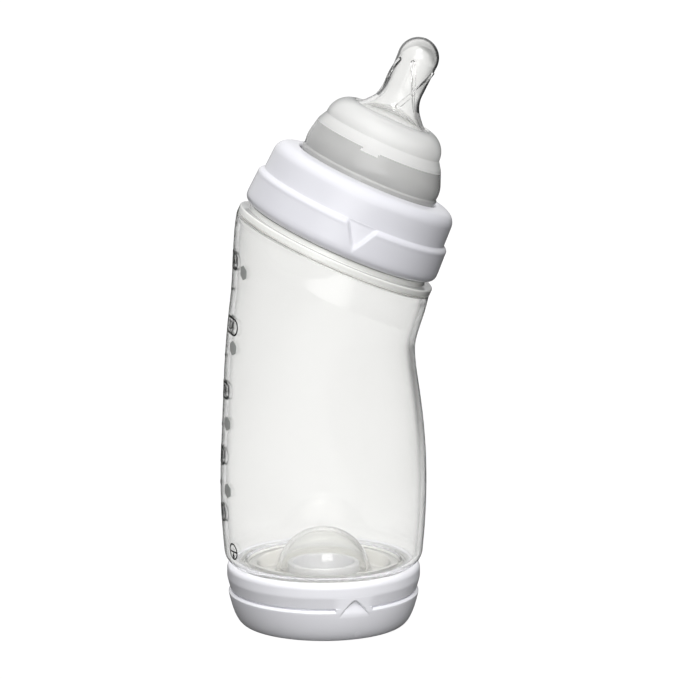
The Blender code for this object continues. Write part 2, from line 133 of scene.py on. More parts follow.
def arc(centre: Point, radius: float, start: float, end: float, steps: int) -> list[Point]:
    """Return points on an arc; angles are in degrees, 0 outwards and 90 upwards."""
    turns = [math.radians(start + (end - start) * i / steps) for i in range(steps + 1)]
    return [(centre[0] + radius * math.cos(a), centre[1] + radius * math.sin(a)) for a in turns]


def ease(t: Any) -> Any:
    """Return the smooth step of a number or an array from 0 to 1."""
    t = np.clip(t, 0.0, 1.0)
    return t * t * (3 - 2 * t)


def between(value: float, low: float, high: float) -> float:
    """Return how far value lies on the way from low to high, kept from 0 to 1."""
    return min(max((value - low) / (high - low), 0.0), 1.0)


def nearest_turn(angle: Any) -> Any:
    """Return an angle or an array of them, counted within half a turn to either side of 0."""
    return (angle + math.pi) % FULL_TURN - math.pi


class Outline:
    """Side view of a turned piece, as rows of radius and level, each with its own relief."""

    def __init__(self) -> None:
        """Start with no rows."""
        self.rows: list[tuple[float, float, Optional[Relief]]] = []

    def run(
        self, points: Sequence[Point], relief: Optional[Relief] = None, spacing: float = 0.0
    ) -> "Outline":
        """Add a stretch of outline.

        Args:
            points: Its points; the first may repeat the last one added.
            relief: What raises or sinks the surface along this stretch.
            spacing: The longest step between rows, or 0 for the points as they are.

        Returns:
            The outline itself, so that calls can be chained.
        """
        last = self.rows[-1][:2] if self.rows else None
        for radius, level in points:
            here = (float(radius), float(level))
            if last is not None:
                gap = math.dist(last, here)
                if gap < TINY:
                    continue
                pieces = max(1, math.ceil(gap / spacing)) if spacing else 1
                for k in range(1, pieces):
                    share = k / pieces
                    self.rows.append((*(a + (b - a) * share for a, b in zip(last, here)), relief))
            self.rows.append((*here, relief))
            last = here
        return self

    def bend(
        self, *corners: Corner, steps: int = 7, relief: Optional[Relief] = None, spacing: float = 0.0
    ) -> "Outline":
        """Add a stretch whose corners are rounded off; its arguments are those of rounded() and run()."""
        return self.run(rounded(corners, steps), relief, spacing)

    def rings(self, angles: np.ndarray) -> list[np.ndarray]:
        """Turn every row round the axis.

        Args:
            angles: The angles of a ring's points.

        Returns:
            A ring for each row; a row on the axis becomes one point.
        """
        made = []
        for radius, level, relief in self.rows:
            if radius < TINY:
                made.append(np.array([[0.0, 0.0, level]]))
                continue
            reach = np.full(len(angles), radius) if relief is None else relief(angles, radius, level)
            made.append(ring(angles, reach, level))
        return made


def ring(angles: np.ndarray, reach: Any, level: float = 0.0) -> np.ndarray:
    """Return the points of a level ring whose radius is a number or one for each angle."""
    return np.stack([reach * np.cos(angles), reach * np.sin(angles), np.full(len(angles), level)], axis=1)


def spread(sides: int, focus: float = 0.0, half_width: float = 0.0, step: float = 0.0) -> np.ndarray:
    """Return angles round an axis, closer together near a place with fine detail.

    Args:
        sides: How many angles an even spread has.
        focus: The middle of the fine stretch.
        half_width: How far the fine stretch reaches to each side; 0 leaves the spread even.
        step: The angle between neighbours in the fine stretch.

    Returns:
        Rising angles in radians, less than one turn in all.
    """
    if not half_width:
        return np.arange(sides) * FULL_TURN / sides
    fine = np.linspace(-half_width, half_width, round(2 * half_width / step) + 1)
    rest = FULL_TURN - 2 * half_width
    coarse = np.linspace(half_width, half_width + rest, round(sides * rest / FULL_TURN) + 1)
    return focus + np.concatenate([fine, coarse[1:-1]])


# ------------------------------------------------------------------ reliefs
@dataclass(frozen=True)
class Thread:
    """A right-handed screw thread with one start, as relief on a round wall.

    Attributes:
        start: Level of the ridge's middle where it begins, above the +X side.
        turns: How many turns the ridge makes.
        height: How far it stands out; below 0 it stands inwards.
        lead: Rise in one turn, the same as the joint's.
        crest: Width of the ridge's flat top.
        flank: Width of each sloping side.
        runout: Share of a turn over which each end sinks away.
    """

    start: float
    turns: float
    height: float
    lead: float
    crest: float = 0.7
    flank: float = 0.55
    runout: float = 0.06

    def __call__(self, angles: np.ndarray, radius: float, level: float) -> np.ndarray:
        """Raise the ridge on one row.

        Args:
            angles: The row's angles.
            radius: The plain wall's radius.
            level: The row's level.

        Returns:
            The wall's radius at each angle.
        """
        ridge = np.zeros(len(angles))
        first = np.mod(angles, FULL_TURN) / FULL_TURN
        for turn in range(math.ceil(self.turns) + 1):
            travelled = first + turn
            away = np.abs(level - self.start - self.lead * travelled)
            side = ease((self.crest / 2 + self.flank - away) / self.flank)
            ends = ease(travelled / self.runout) * ease((self.turns - travelled) / self.runout)
            ridge = np.maximum(ridge, side * ends)
        return radius + self.height * ridge


@dataclass(frozen=True)
class ArrowField:
    """The triangle of an alignment arrow on a round side.

    Attributes:
        middle: Angle of the arrow's middle about the axis.
        root: Level of its open end.
        tip: Level of its point.
        width: Width at the root.
        edge: Width of the slope along its sides.
        nose: Radius of its blunted point.
    """

    middle: float
    root: float
    tip: float
    width: float
    edge: float
    nose: float = 0.7

    def across(self, angles: np.ndarray, radius: float) -> np.ndarray:
        """Return the distance of each angle from the arrow's middle line, along the side."""
        return nearest_turn(angles - self.middle) * radius

    def inside(self, angles: np.ndarray, radius: float, level: float) -> np.ndarray:
        """Measure how far a row lies inside the arrow's sides.

        Args:
            angles: The row's angles.
            radius: The side's radius there.
            level: The row's level.

        Returns:
            The distance at each angle; below 0 is outside.
        """
        along = (self.tip - level) / (self.tip - self.root)
        slant = math.atan2(self.width / 2, abs(self.tip - self.root))
        side = np.sqrt(self.across(angles, radius) ** 2 + self.nose**2) - self.nose
        return (along * self.width / 2 - side) * math.cos(slant)

    def mask(self, angles: np.ndarray, radius: float, level: float) -> np.ndarray:
        """Return 1 inside the arrow and 0 outside it, with a slope between."""
        return ease(self.inside(angles, radius, level) / self.edge + 0.5)


# ------------------------------------------------------------------ meshes
def add_object(name: str, data: bpy.types.ID) -> bpy.types.Object:
    """Add an object to the scene.

    Args:
        name: Its name.
        data: Its mesh, curve, light or camera.

    Returns:
        The object, at the origin.
    """
    obj = bpy.data.objects.new(name, data)
    bpy.context.scene.collection.objects.link(obj)
    return obj


def shell_mesh(name: str, points: np.ndarray, faces: Sequence[tuple[int, ...]]) -> bpy.types.Mesh:
    """Make a mesh whose faces all look outwards.

    Args:
        name: The mesh's name.
        points: Its points in millimetres.
        faces: The numbers of each face's points.

    Returns:
        The mesh, in metres.
    """
    mesh = bpy.data.meshes.new(name)
    mesh.from_pydata((points * MM).tolist(), [], faces)
    bm = bmesh.new()
    bm.from_mesh(mesh)
    bmesh.ops.recalc_face_normals(bm, faces=bm.faces)
    bm.to_mesh(mesh)
    bm.free()
    return mesh


def skin(
    name: str, rings: Sequence[np.ndarray], place: Matrix, closed: bool, sharp: float = 32.0
) -> bpy.types.Object:
    """Make a mesh of quads between rings, in the frame's metres.

    Args:
        name: The piece's name.
        rings: Rows of points in millimetres; a row of one point closes an end.
        place: Where the rings' own axis stands, in metres.
        closed: Whether the last ring joins the first.
        sharp: Edges that turn by more than this many degrees stay sharp.

    Returns:
        The new piece, with its origin on its own axis.
    """
    counts = [len(row) for row in rings]
    starts = [0, *np.cumsum(counts).tolist()]
    faces: list[tuple[int, ...]] = []
    pairs = list(zip(range(len(rings)), range(1, len(rings))))
    if closed:
        pairs.append((len(rings) - 1, 0))
    for low, high in pairs:
        sides = max(counts[low], counts[high])
        for i in range(sides):
            j = (i + 1) % sides
            bottom = (i, j) if counts[low] > 1 else (0,)
            top = (j, i) if counts[high] > 1 else (0,)
            faces.append((*(starts[low] + k for k in bottom), *(starts[high] + k for k in top)))
    mesh = shell_mesh(name, np.concatenate(rings), faces)
    mesh.shade_smooth()
    mesh.set_sharp_from_angle(angle=math.radians(sharp))
    obj = add_object(name, mesh)
    obj.matrix_world = place
    return obj


def carried(rings: Sequence[np.ndarray], place: Matrix) -> list[np.ndarray]:
    """Return rings carried to a place whose translation is in millimetres."""
    turn = np.array(place.to_3x3())
    return [row @ turn.T + np.array(place.translation) for row in rings]


@dataclass(frozen=True)
class Span:
    """How far a CAD node reaches along an axis and round it, in millimetres."""

    low: float
    high: float
    radius: float


def measure(node: str, place: Matrix) -> Span:
    """Measure a CAD node along the axis of a place.

    Args:
        node: The node's name.
        place: The axis, in metres.

    Returns:
        Its lowest and highest level and its largest radius.
    """
    points = np.array([vertex.co for vertex in frame["nodes"][node].data.vertices])
    turn = np.array(place.to_3x3())
    local = (points - np.array(place.translation)) @ turn / MM
    radii = np.hypot(local[:, 0], local[:, 1])
    return Span(float(local[:, 2].min()), float(local[:, 2].max()), float(radii.max()))


# ------------------------------------------------------------------ finishes
def linear(code: str) -> tuple[float, float, float, float]:
    """Turn an sRGB hex colour to linear light.

    Args:
        code: The colour, such as "#e6e6ee".

    Returns:
        Linear red, green and blue, and a full alpha.
    """
    parts = [int(code[i : i + 2], 16) / 255 for i in (1, 3, 5)]
    light = [c / 12.92 if c <= 0.04045 else ((c + 0.055) / 1.055) ** 2.4 for c in parts]
    return (light[0], light[1], light[2], 1.0)


def set_node(node: bpy.types.Node, settings: dict) -> None:
    """Set a node's inputs by name or number, or its own attributes where no input has the name.

    Args:
        node: The node.
        settings: The values.
    """
    for key, value in settings.items():
        if isinstance(key, int) or key in node.inputs:
            node.inputs[key].default_value = value
        else:
            setattr(node, key, value)


def add_node(
    tree: bpy.types.NodeTree, kind: str, settings: Optional[dict] = None, links: Optional[dict] = None
) -> bpy.types.Node:
    """Add a node with its settings and links.

    Args:
        tree: The node tree.
        kind: Blender's name for the node.
        settings: Values for set_node().
        links: Outputs of other nodes, by the input they go to.

    Returns:
        The new node.
    """
    node = tree.nodes.new(kind)
    set_node(node, settings or {})
    for key, output in (links or {}).items():
        tree.links.new(output, node.inputs[key])
    return node


@dataclass(frozen=True)
class Finish:
    """What every surface shares: a colour, a gloss and the fine unevenness of its mould.

    Attributes:
        title: Name of the material.
        colour: sRGB hex colour.
        roughness: Middle value of its roughness.
        ior: Index of refraction.
        patch: Size of the patches over which the gloss drifts.
        drift: How far the roughness drifts either way.
        grain: Size of the mould's unevenness.
        depth: Height of that unevenness.
    """

    title: str
    colour: str
    roughness: float
    ior: float
    patch: float = 9.0
    drift: float = 0.03
    grain: float = 0.8
    depth: float = 0.004

    def start(self) -> tuple[bpy.types.Material, bpy.types.NodeTree, bpy.types.Node]:
        """Make the material with its gloss and its unevenness.

        Returns:
            The material, its node tree and its shader.
        """
        material = bpy.data.materials.new(self.title)
        material.use_nodes = True
        material.diffuse_color = linear(self.colour)
        tree = material.node_tree
        shader = tree.nodes["Principled BSDF"]
        set_node(shader, {"Base Color": linear(self.colour), "IOR": self.ior})
        place = add_node(tree, "ShaderNodeTexCoord").outputs["Object"]
        cloud = add_node(
            tree, "ShaderNodeTexNoise", {"Scale": 1 / (self.patch * MM), "Detail": 2.0}, {"Vector": place}
        )
        gloss = add_node(
            tree,
            "ShaderNodeMapRange",
            {"To Min": self.roughness - self.drift, "To Max": self.roughness + self.drift},
            {"Value": cloud.outputs["Fac"]},
        )
        tree.links.new(gloss.outputs["Result"], shader.inputs["Roughness"])
        bumps = add_node(
            tree, "ShaderNodeTexNoise", {"Scale": 1 / (self.grain * MM), "Detail": 1.0}, {"Vector": place}
        )
        bump = add_node(
            tree,
            "ShaderNodeBump",
            {"Strength": 1.0, "Distance": self.depth * MM},
            {"Height": bumps.outputs["Fac"]},
        )
        tree.links.new(bump.outputs["Normal"], shader.inputs["Normal"])
        return material, tree, shader


@dataclass(frozen=True)
class WhitePolypropylene(Finish):
    """Injection-moulded white polypropylene: glossy, a little waxy, and faintly see-through at its edges.

    Attributes:
        glow: Share of the light that sinks in and comes back out.
        glow_reach: How far that light travels inside.
    """

    glow: float = 0.05
    glow_reach: float = 1.2

    def build(self) -> bpy.types.Material:
        """Make the material.

        Returns:
            The material.
        """
        material, _, shader = self.start()
        waxy = {
            "Subsurface Weight": self.glow,
            "Subsurface Radius": (1.0, 1.0, 1.0),
            "Subsurface Scale": self.glow_reach * MM,
        }
        set_node(shader, waxy)
        return material


@dataclass(frozen=True)
class ClearPlastic(Finish):
    """Clear plastic or silicone: it lets light through, and its colour is painted darker where it is seen
    edge on, as painted shade.

    Attributes:
        edge: sRGB hex colour painted as shade where the wall is seen edge on; every clear finish has one.
        edge_start: Where the painted shade begins, from 0 face on to 1 edge on.
        edge_full: Where the painted shade is complete.
        clearness: Share of the light that goes through; the rest is scattered, which looks milky.
        shade: sRGB hex colour that a lamp's light keeps at each surface it passes.
    """

    edge: str = "#9a9c9c"
    edge_start: float = 0.55
    edge_full: float = 1.0
    clearness: float = 1.0
    shade: str = "#ffffff"

    def build(self) -> bpy.types.Material:
        """Make the material, with lamps shining straight through it.

        Returns:
            The material.
        """
        material, tree, shader = self.start()
        set_node(shader, {"Transmission Weight": self.clearness})
        through = add_node(tree, "ShaderNodeBsdfTransparent", {"Color": linear(self.shade)})
        lamp = add_node(tree, "ShaderNodeLightPath").outputs["Is Shadow Ray"]
        both = add_node(
            tree,
            "ShaderNodeMixShader",
            links={0: lamp, 1: shader.outputs["BSDF"], 2: through.outputs["BSDF"]},
        )
        tree.links.new(both.outputs["Shader"], tree.nodes["Material Output"].inputs["Surface"])
        # Painted shade: the base colour eases from the plastic's own colour to the edge colour as the
        # surface turns edge on.
        facing = add_node(tree, "ShaderNodeLayerWeight").outputs["Facing"]
        painted_edge_shade = add_node(tree, "ShaderNodeValToRGB", links={"Fac": facing})
        painted_edge_shade.color_ramp.interpolation = "EASE"
        stops = ((self.edge_start, self.colour), (self.edge_full, self.edge))
        for element, (position, colour) in zip(painted_edge_shade.color_ramp.elements, stops):
            element.position = position
            element.color = linear(colour)
        tree.links.new(painted_edge_shade.outputs["Color"], shader.inputs["Base Color"])
        return material


@dataclass(frozen=True)
class Ink(Finish):
    """Screen-printed ink: a thin, even, matt film that stays dark when it is seen almost edge on."""

    sheen: float = 0.08

    def build(self) -> bpy.types.Material:
        """Make the material.

        Returns:
            The material.
        """
        material, _, shader = self.start()
        set_node(shader, {"Specular IOR Level": self.sheen})
        return material


# Moulded gloss white with a faint blue.  The collar's white is painted a shade darker and the base's a shade
# lighter: painted shade and painted light for how the lamps fall on each.
COLLAR_WHITE_PAINTED_SHADE = WhitePolypropylene("moulded_white_polypropylene_collar", "#dfdfe5", 0.24, 1.49)
BASE_WHITE_PAINTED_LIGHT = WhitePolypropylene("moulded_white_polypropylene_base", "#f4f4f9", 0.26, 1.49)
# Blow moulding leaves long soft waves, which bend what is seen through the wall a little.  Its outline is
# painted grey, as shade.
BODY_CLEAR = ClearPlastic(
    "blown_clear_polypropylene", "#f8f8f7", 0.03, 1.49, drift=0.015, grain=11.0, depth=0.004,
    edge="#8c8e8e", edge_start=0.66, edge_full=0.93, clearness=0.95,
)
# The neck, its ledge and its bead are several times thicker, so the same plastic looks cloudier.
NECK_CLEAR = ClearPlastic(
    "thick_clear_polypropylene", "#f6f6f3", 0.08, 1.49, drift=0.02, grain=6.0, depth=0.004, clearness=0.2
)
# The band's half of the mould is polished, and its wall is thick; its grey colour is painted shade for the
# dark inside seen through it.
BAND_CLEAR_PAINTED_SHADE = ClearPlastic(
    "polished_clear_silicone_band", "#c6c6c5", 0.06, 1.41, drift=0.02, grain=3.0, depth=0.010, clearness=0.5
)
# The teat is as clear as glass face on; its outline is painted almost black, as shade.
TEAT_CLEAR = ClearPlastic(
    "polished_clear_silicone_teat", "#f8f8f7", 0.04, 1.41, drift=0.02, grain=3.0, depth=0.006,
    edge="#0c0d0d", edge_start=0.42, edge_full=0.62, clearness=0.97,
)
# Where the teat spreads out over the dome it is thin, and only its very outline is painted dark, as shade.
TEAT_FLARE = replace(
    TEAT_CLEAR, title="polished_clear_silicone_flare", edge="#141616", edge_start=0.78, edge_full=0.95
)
# The hollow inside the teat is polished too; its edges get only a faint painted shade, and the teat's
# outside paints the rest.
TEAT_HOLLOW = replace(
    TEAT_CLEAR, title="polished_clear_silicone_hollow", colour="#fafaf9", depth=0.004,
    edge="#e8e8e7", edge_start=0.55, edge_full=1.0, clearness=1.0,
)
# The dome's half of the mould is blasted, so the silicone scatters what passes through it.
DOME_FROSTED = ClearPlastic(
    "frosted_silicone", "#f1f1f0", 0.5, 1.41, drift=0.04, grain=0.35, depth=0.012, clearness=0.5
)
# The vent disc is moulded soft and thick, so it looks milky.
DISC_SILICONE = ClearPlastic(
    "moulded_translucent_silicone", "#f0efeb", 0.12, 1.41, drift=0.03, grain=1.5, depth=0.006, clearness=0.4
)
# The diaphragm's dome is thin, so it looks clearer than the rest of the disc.  Its outline is painted grey
# as shade, and its grey shade colour dims the lamps' light under it, a painted shadow on the cup beneath.
BUBBLE_SILICONE = ClearPlastic(
    "thin_translucent_silicone", "#f8f8f6", 0.07, 1.41, drift=0.02, grain=1.5, depth=0.004,
    edge="#a4a4a2", edge_start=0.7, clearness=0.93, shade="#b8b8b8",
)
# Two colours of screen ink: dry, opaque and without gloss.
BLACK_INK = Ink("black_screen_ink", "#060606", 0.6, 1.45)
GREY_INK = Ink("grey_screen_ink", "#b0b2b0", 0.6, 1.45)


# ------------------------------------------------------------------ axes
@dataclass(frozen=True)
class Axes:
    """The bottle's two axes, as places in metres whose own Z runs along them, and its threads' lead."""

    base: Matrix
    neck: Matrix
    lead: float

    @classmethod
    def from_frame(cls) -> "Axes":
        """Read the axes and the threads' lead from the joints.

        Returns:
            The axes.
        """
        joints = {joint["name"]: joint for joint in frame["joints"]}
        turn = joints["collar_turn"]
        along = Vector(turn["axis"]).normalized()
        tilt = math.atan2(along.x, along.z)
        neck = Matrix.Translation(turn["pos_m"]) @ Matrix.Rotation(tilt, 4, "Y")
        turns = turn["range_deg"][1] / 360
        lead = joints["nipple_lift"]["range_m"][1] / MM / turns
        return cls(Matrix.Translation(joints["base_cap_turn"]["pos_m"]), neck, lead)


def finish_piece(
    obj: bpy.types.Object, body: str, slot: str, node: Optional[str], *materials: bpy.types.Material
) -> bpy.types.Object:
    """Lay a piece in the frame, and give it its materials and body.

    Args:
        obj: The piece, still in its own axis.
        body: The body that it rides.
        slot: Not used.
        node: The CAD node that it stands for, if it stands for one.
        materials: Its materials, in the order of its faces' indices.

    Returns:
        The piece, with its place in its mesh.
    """
    obj.data.transform(obj.matrix_world)
    obj.matrix_world = Matrix()
    for material in materials:
        obj.data.materials.append(material)
    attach(obj, body)
    if node:
        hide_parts(node)
    return obj


# ------------------------------------------------------------------ bottle body
@dataclass
class BottleBody:
    """The clear bottle: base neck, belly, waist, shoulder, ledge, bead and leaning neck."""

    axes: Axes
    wall: float = 1.6
    neck_wall: float = 1.7
    belly_radius: float = 30.5
    belly_level: float = 42.6
    belly_steps: int = 83
    foot_tuck: float = 1.0
    foot_level: float = 17.4
    foot_height: float = 5.2
    foot_land: float = 0.2
    foot_bevel: float = 0.4
    foot_steps: int = 14
    waist_depth: float = 2.35
    waist_level: float = 89.6
    tilt_start: float = 59.6
    lean_start: float = 77.6
    lean_power: float = 2.4
    sway: float = 0.6
    sway_start: float = 50.0
    shoulder_radius: float = 30.7
    shoulder_gap: int = 2             # rows that the inner wall leaves out under the shoulder's bend
    shoulder_bend: tuple[float, float] = (-0.6, 0.3)      # levels at which the inner wall turns inwards
    shoulder_round: float = 0.8
    ledge_height: float = 2.8
    ledge_share: float = 0.4          # where the ledge's own side begins, as a share of its height
    ledge_round: float = 0.5
    throat_rise: float = 0.6
    throat_round: float = 1.2
    bead_height: float = 1.5
    bead_radius: float = 28.0
    bead_root: float = 0.25
    bead_round: float = 0.35
    neck_outer: float = 26.1
    neck_root: float = 0.3
    neck_land: float = 1.0
    base_neck_outer: float = 24.6
    lip_round: float = 0.6
    lip_steps: int = 5
    thread_height: float = 1.0
    thread_rows: float = 0.22
    base_thread_rise: float = 0.9
    base_thread_turns: float = 1.35
    neck_thread_rise: float = 4.6
    neck_thread_turns: float = 1.55
    cloudy_level: float = 0.6
    sides: int = 224

    def __post_init__(self) -> None:
        """Read the ends of both necks and the shoulder's place from the frame."""
        self.base_end = measure("bottle_body", self.axes.base).low
        self.neck_end = measure("bottle_body", self.axes.neck).high
        self.shoulder = self.axes.neck.translation / MM
        across = self.axes.neck.to_3x3() @ Vector((0, 0, 1))
        self.tilt = math.atan2(across.x, across.z)
        self.foot_top = self.foot_level + self.foot_height
        self.neck = Matrix.Translation(self.shoulder) @ Matrix.Rotation(self.tilt, 4, "Y")
        self.mouth = self.base_neck_outer - self.neck_wall
        self.throat = self.neck_outer - self.neck_wall

    def section(self, height: float) -> tuple[Matrix, float]:
        """Find a cross-section of the belly.

        Args:
            height: Height of its centre.

        Returns:
            Its place and its outer radius.
        """
        tilt = self.tilt * float(ease(between(height, self.tilt_start, self.shoulder.z)))
        lean = between(height, self.lean_start, self.shoulder.z) ** self.lean_power
        sway = math.sin(math.pi * between(height, self.sway_start, self.shoulder.z)) ** 2
        shift = self.shoulder.x * lean - self.sway * sway
        waist = self.belly_radius - self.waist_depth
        if height < self.belly_level:
            drop = (self.belly_level - height) / (self.belly_level - self.foot_top)
            radius = self.belly_radius - self.foot_tuck * drop**2
        elif height < self.waist_level:
            share = float(ease(between(height, self.belly_level, self.waist_level)))
            radius = self.belly_radius - self.waist_depth * share
        else:
            share = float(ease(between(height, self.waist_level, self.shoulder.z)))
            radius = waist + (self.shoulder_radius - waist) * share
        return Matrix.Translation((shift, 0.0, height)) @ Matrix.Rotation(tilt, 4, "Y"), radius

    def belly(self, angles: np.ndarray, inset: float) -> list[np.ndarray]:
        """Stack the cross-sections from the foot's corner up to the shoulder.

        Args:
            angles: The angles of a ring's points.
            inset: How far inside the outer wall they lie.

        Returns:
            The rings.
        """
        made = []
        for height in np.linspace(self.foot_top, self.shoulder.z, self.belly_steps + 1):
            place, radius = self.section(float(height))
            made += carried([ring(angles, radius - inset)], place)
        return made

    def foot(self, inset: float) -> list[Point]:
        """Round the corner between the base neck and the belly.

        Args:
            inset: How far inside the outer wall it runs.

        Returns:
            Its points, without the one where the belly begins.
        """
        corner = self.base_neck_outer + self.foot_land
        width = self.belly_radius - self.foot_tuck - corner - inset
        height = self.foot_height - inset
        turns = [math.radians(270 + 90 * i / self.foot_steps) for i in range(self.foot_steps)]
        return [(corner + width * math.cos(a), self.foot_top + height * math.sin(a)) for a in turns]

    def lip(self, radius: float, level: float, start: float, end: float) -> list[Point]:
        """Return the rounding of a mouth's rim about its middle, between two angles in degrees."""
        return arc((radius, level), self.lip_round, start, end, self.lip_steps)

    def outside(self, angles: np.ndarray) -> list[np.ndarray]:
        """Shape the outer wall.

        Args:
            angles: The angles of a ring's points.

        Returns:
            Its rings, from the base neck's mouth to the rim of the leaning neck.
        """
        lip, rise, rows = self.lip_round, self.thread_height, self.thread_rows
        base_start = self.base_end + self.base_thread_rise
        neck_start = self.ledge_height + self.neck_thread_rise
        base_thread = Thread(base_start, self.base_thread_turns, rise, self.axes.lead)
        neck_thread = Thread(neck_start, self.neck_thread_turns, rise, self.axes.lead)
        low = Outline()
        low.run([(self.mouth + lip, self.base_end)])
        low.run(self.lip(self.base_neck_outer - lip, self.base_end + lip, 270, 360))
        low.run([(self.base_neck_outer, self.foot_level - self.foot_bevel)], base_thread, rows)
        low.run(self.foot(0.0))
        bead_top = self.ledge_height + self.bead_height
        high = Outline()
        high.bend(
            Corner(self.shoulder_radius, self.ledge_height * self.ledge_share),
            Corner(self.shoulder_radius, self.ledge_height, self.ledge_round),
            Corner(self.bead_radius, self.ledge_height, self.bead_root),
            Corner(self.bead_radius, bead_top, self.bead_round),
            Corner(self.neck_outer, bead_top, self.neck_root),
            Corner(self.neck_outer, bead_top + self.neck_land),
            steps=5,
        )
        high.run([(self.neck_outer, self.neck_end - lip)], neck_thread, rows)
        high.run(self.lip(self.neck_outer - lip, self.neck_end - lip, 0, 90))
        return low.rings(angles) + self.belly(angles, 0.0) + carried(high.rings(angles), self.neck)

    def inside(self, angles: np.ndarray) -> list[np.ndarray]:
        """Shape the inner wall.

        Args:
            angles: The angles of a ring's points.

        Returns:
            Its rings, from the base neck's mouth to the rim of the leaning neck.
        """
        lip, floor = self.lip_round, self.foot_level + self.wall
        low = Outline()
        low.run(self.lip(self.mouth + lip, self.base_end + lip, 270, 180))
        low.run([(self.mouth, floor - 2 * self.foot_bevel), (self.mouth + self.foot_bevel, floor)])
        low.run(self.foot(self.wall))
        high = Outline()
        high.bend(
            Corner(self.shoulder_radius - self.wall, self.shoulder_bend[0]),
            Corner(self.shoulder_radius - self.wall, self.shoulder_bend[1], self.shoulder_round),
            Corner(self.throat, self.ledge_height - self.wall + self.throat_rise, self.throat_round),
            Corner(self.throat, self.neck_end - lip),
        )
        high.run(self.lip(self.throat + lip, self.neck_end - lip, 180, 90))
        belly = self.belly(angles, self.wall)[: -self.shoulder_gap]
        return low.rings(angles) + belly + carried(high.rings(angles), self.neck)

    def build(self) -> list[bpy.types.Object]:
        """Make the body as one shell that is open at both ends.

        Returns:
            The body's piece.
        """
        angles = spread(self.sides)
        rings = self.outside(angles) + self.inside(angles)[::-1]
        body = skin("clear_bottle_body", rings, Matrix.Identity(4), True)
        upright = Vector((math.sin(self.tilt), 0.0, math.cos(self.tilt)))
        for face in body.data.polygons:
            level = (face.center / MM - self.shoulder).dot(upright)
            face.material_index = int(level > self.cloudy_level or face.center.z < self.foot_level * MM)
        looks = (BODY_CLEAR.build(), NECK_CLEAR.build())
        return [finish_piece(body, "bottle", "bottle_plastic", "bottle_body", *looks)]

    def wall_point(self, angle: float, height: float, out: float) -> np.ndarray:
        """Find a point on the outer wall, or off it by some distance.

        Args:
            angle: Angle about the bottle, counted from +X.
            height: Height of the centre of the cross-section it lies on.
            out: How far outside the wall it is.

        Returns:
            The point.
        """
        place, radius = self.section(height)
        reach = radius + out
        return np.array(place @ Vector((reach * math.cos(angle), reach * math.sin(angle), 0.0)))


# ------------------------------------------------------------------ collar
@dataclass
class Collar:
    """The white screw ring that clamps the nipple, with its arrow pocket."""

    axes: Axes
    hole_radius: float = 21.6
    hole_round: float = 0.7
    plate: float = 2.2
    crown_drop: float = 0.9
    crown_round: float = 3.8
    band_height: float = 10.6
    band_taper: float = 0.4
    step: float = 1.7
    step_root: float = 0.5
    lip_round: float = 1.3
    lip_slope: float = 0.9
    skirt_taper: float = 0.3
    skirt_start: float = 1.9
    skirt_round: float = 2.2
    inner_radius: float = 27.5
    inner_round: float = 0.3
    roof_round: float = 0.4
    thread_drop: float = 5.0
    thread_turns: float = 1.3
    thread_height: float = 1.0
    thread_room: float = 1.0
    thread_rows: float = 0.25
    mark_angle: float = math.radians(5)
    mark_drop: float = 6.6
    mark_width: float = 9.5
    mark_edge: float = 1.2
    mark_shallow: float = 0.45
    mark_lead: float = 0.5            # how far above the step the pocket's fine rows begin
    mark_room: float = 0.6            # how far below the arrow's tip they end
    mark_rows: tuple[float, float] = (0.2, 0.15)          # round the step, and below it
    mark_reach: float = math.radians(12)
    mark_fineness: float = math.radians(0.3)
    sides: int = 208

    def build(self) -> list[bpy.types.Object]:
        """Make the collar.

        Returns:
            The collar's piece.
        """
        span = measure("collar", self.axes.neck)
        step_level = span.high - self.band_height
        tip = step_level - self.mark_drop
        floor = span.radius - self.step
        upper = span.radius - self.skirt_taper
        roof = span.high - self.plate
        arrow = ArrowField(
            FRONT + self.mark_angle, step_level + self.step, tip, self.mark_width, self.mark_edge
        )

        def pocket(angles: np.ndarray, radius: float, level: float) -> np.ndarray:
            """Sink the skirt towards the upper band's radius inside the arrow, less so at its tip.

            Args:
                angles: The row's angles.
                radius: The plain side's radius.
                level: The row's level.

            Returns:
                The side's radius at each angle.
            """
            deep = arrow.mask(angles, radius, level)
            share = self.mark_shallow + (1 - self.mark_shallow) * between(level, tip, step_level)
            return radius - max(radius - floor, 0.0) * deep * share

        thread = Thread(
            step_level - self.thread_drop, self.thread_turns, -self.thread_height, self.axes.lead
        )
        top = rounded(
            [
                Corner(self.hole_radius, roof),
                Corner(self.hole_radius, span.high, self.hole_round),
                Corner(floor - self.band_taper, span.high - self.crown_drop, self.crown_round),
                Corner(floor, step_level + self.lip_slope / 2, self.step_root),
                Corner(upper, step_level - self.lip_slope / 2, self.lip_round),
                Corner(upper, step_level - self.skirt_start),
            ]
        )
        split = next(i for i, point in enumerate(top) if point[1] < step_level + self.mark_lead)
        side = Outline()
        side.run(top[:split])
        side.run(top[split:], pocket, self.mark_rows[0])
        side.run([(span.radius, tip - self.mark_room)], pocket, self.mark_rows[1])
        side.bend(
            Corner(span.radius, tip - self.mark_room),
            Corner(span.radius, span.low, self.skirt_round),
            Corner(self.inner_radius, span.low, self.inner_round),
            Corner(self.inner_radius, span.low + self.thread_room),
        )
        side.run([(self.inner_radius, roof - self.thread_room)], thread, self.thread_rows)
        corners = (
            Corner(self.inner_radius, roof - self.thread_room),
            Corner(self.inner_radius, roof, self.roof_round),
            Corner(self.hole_radius, roof),
        )
        side.run(rounded(corners)[:-1])
        angles = spread(self.sides, arrow.middle, self.mark_reach, self.mark_fineness)
        obj = skin("white_screw_collar", side.rings(angles), self.axes.neck, True)
        return [finish_piece(obj, "collar", "collar_plastic", "collar", COLLAR_WHITE_PAINTED_SHADE.build())]


# ------------------------------------------------------------------ nipple
class NippleZone(IntEnum):
    """The nipple's zones, each with its own finish, in the order of its materials."""

    TEAT = 0
    FROST = 1
    BAND = 2
    HOLLOW = 3
    FLARE = 4


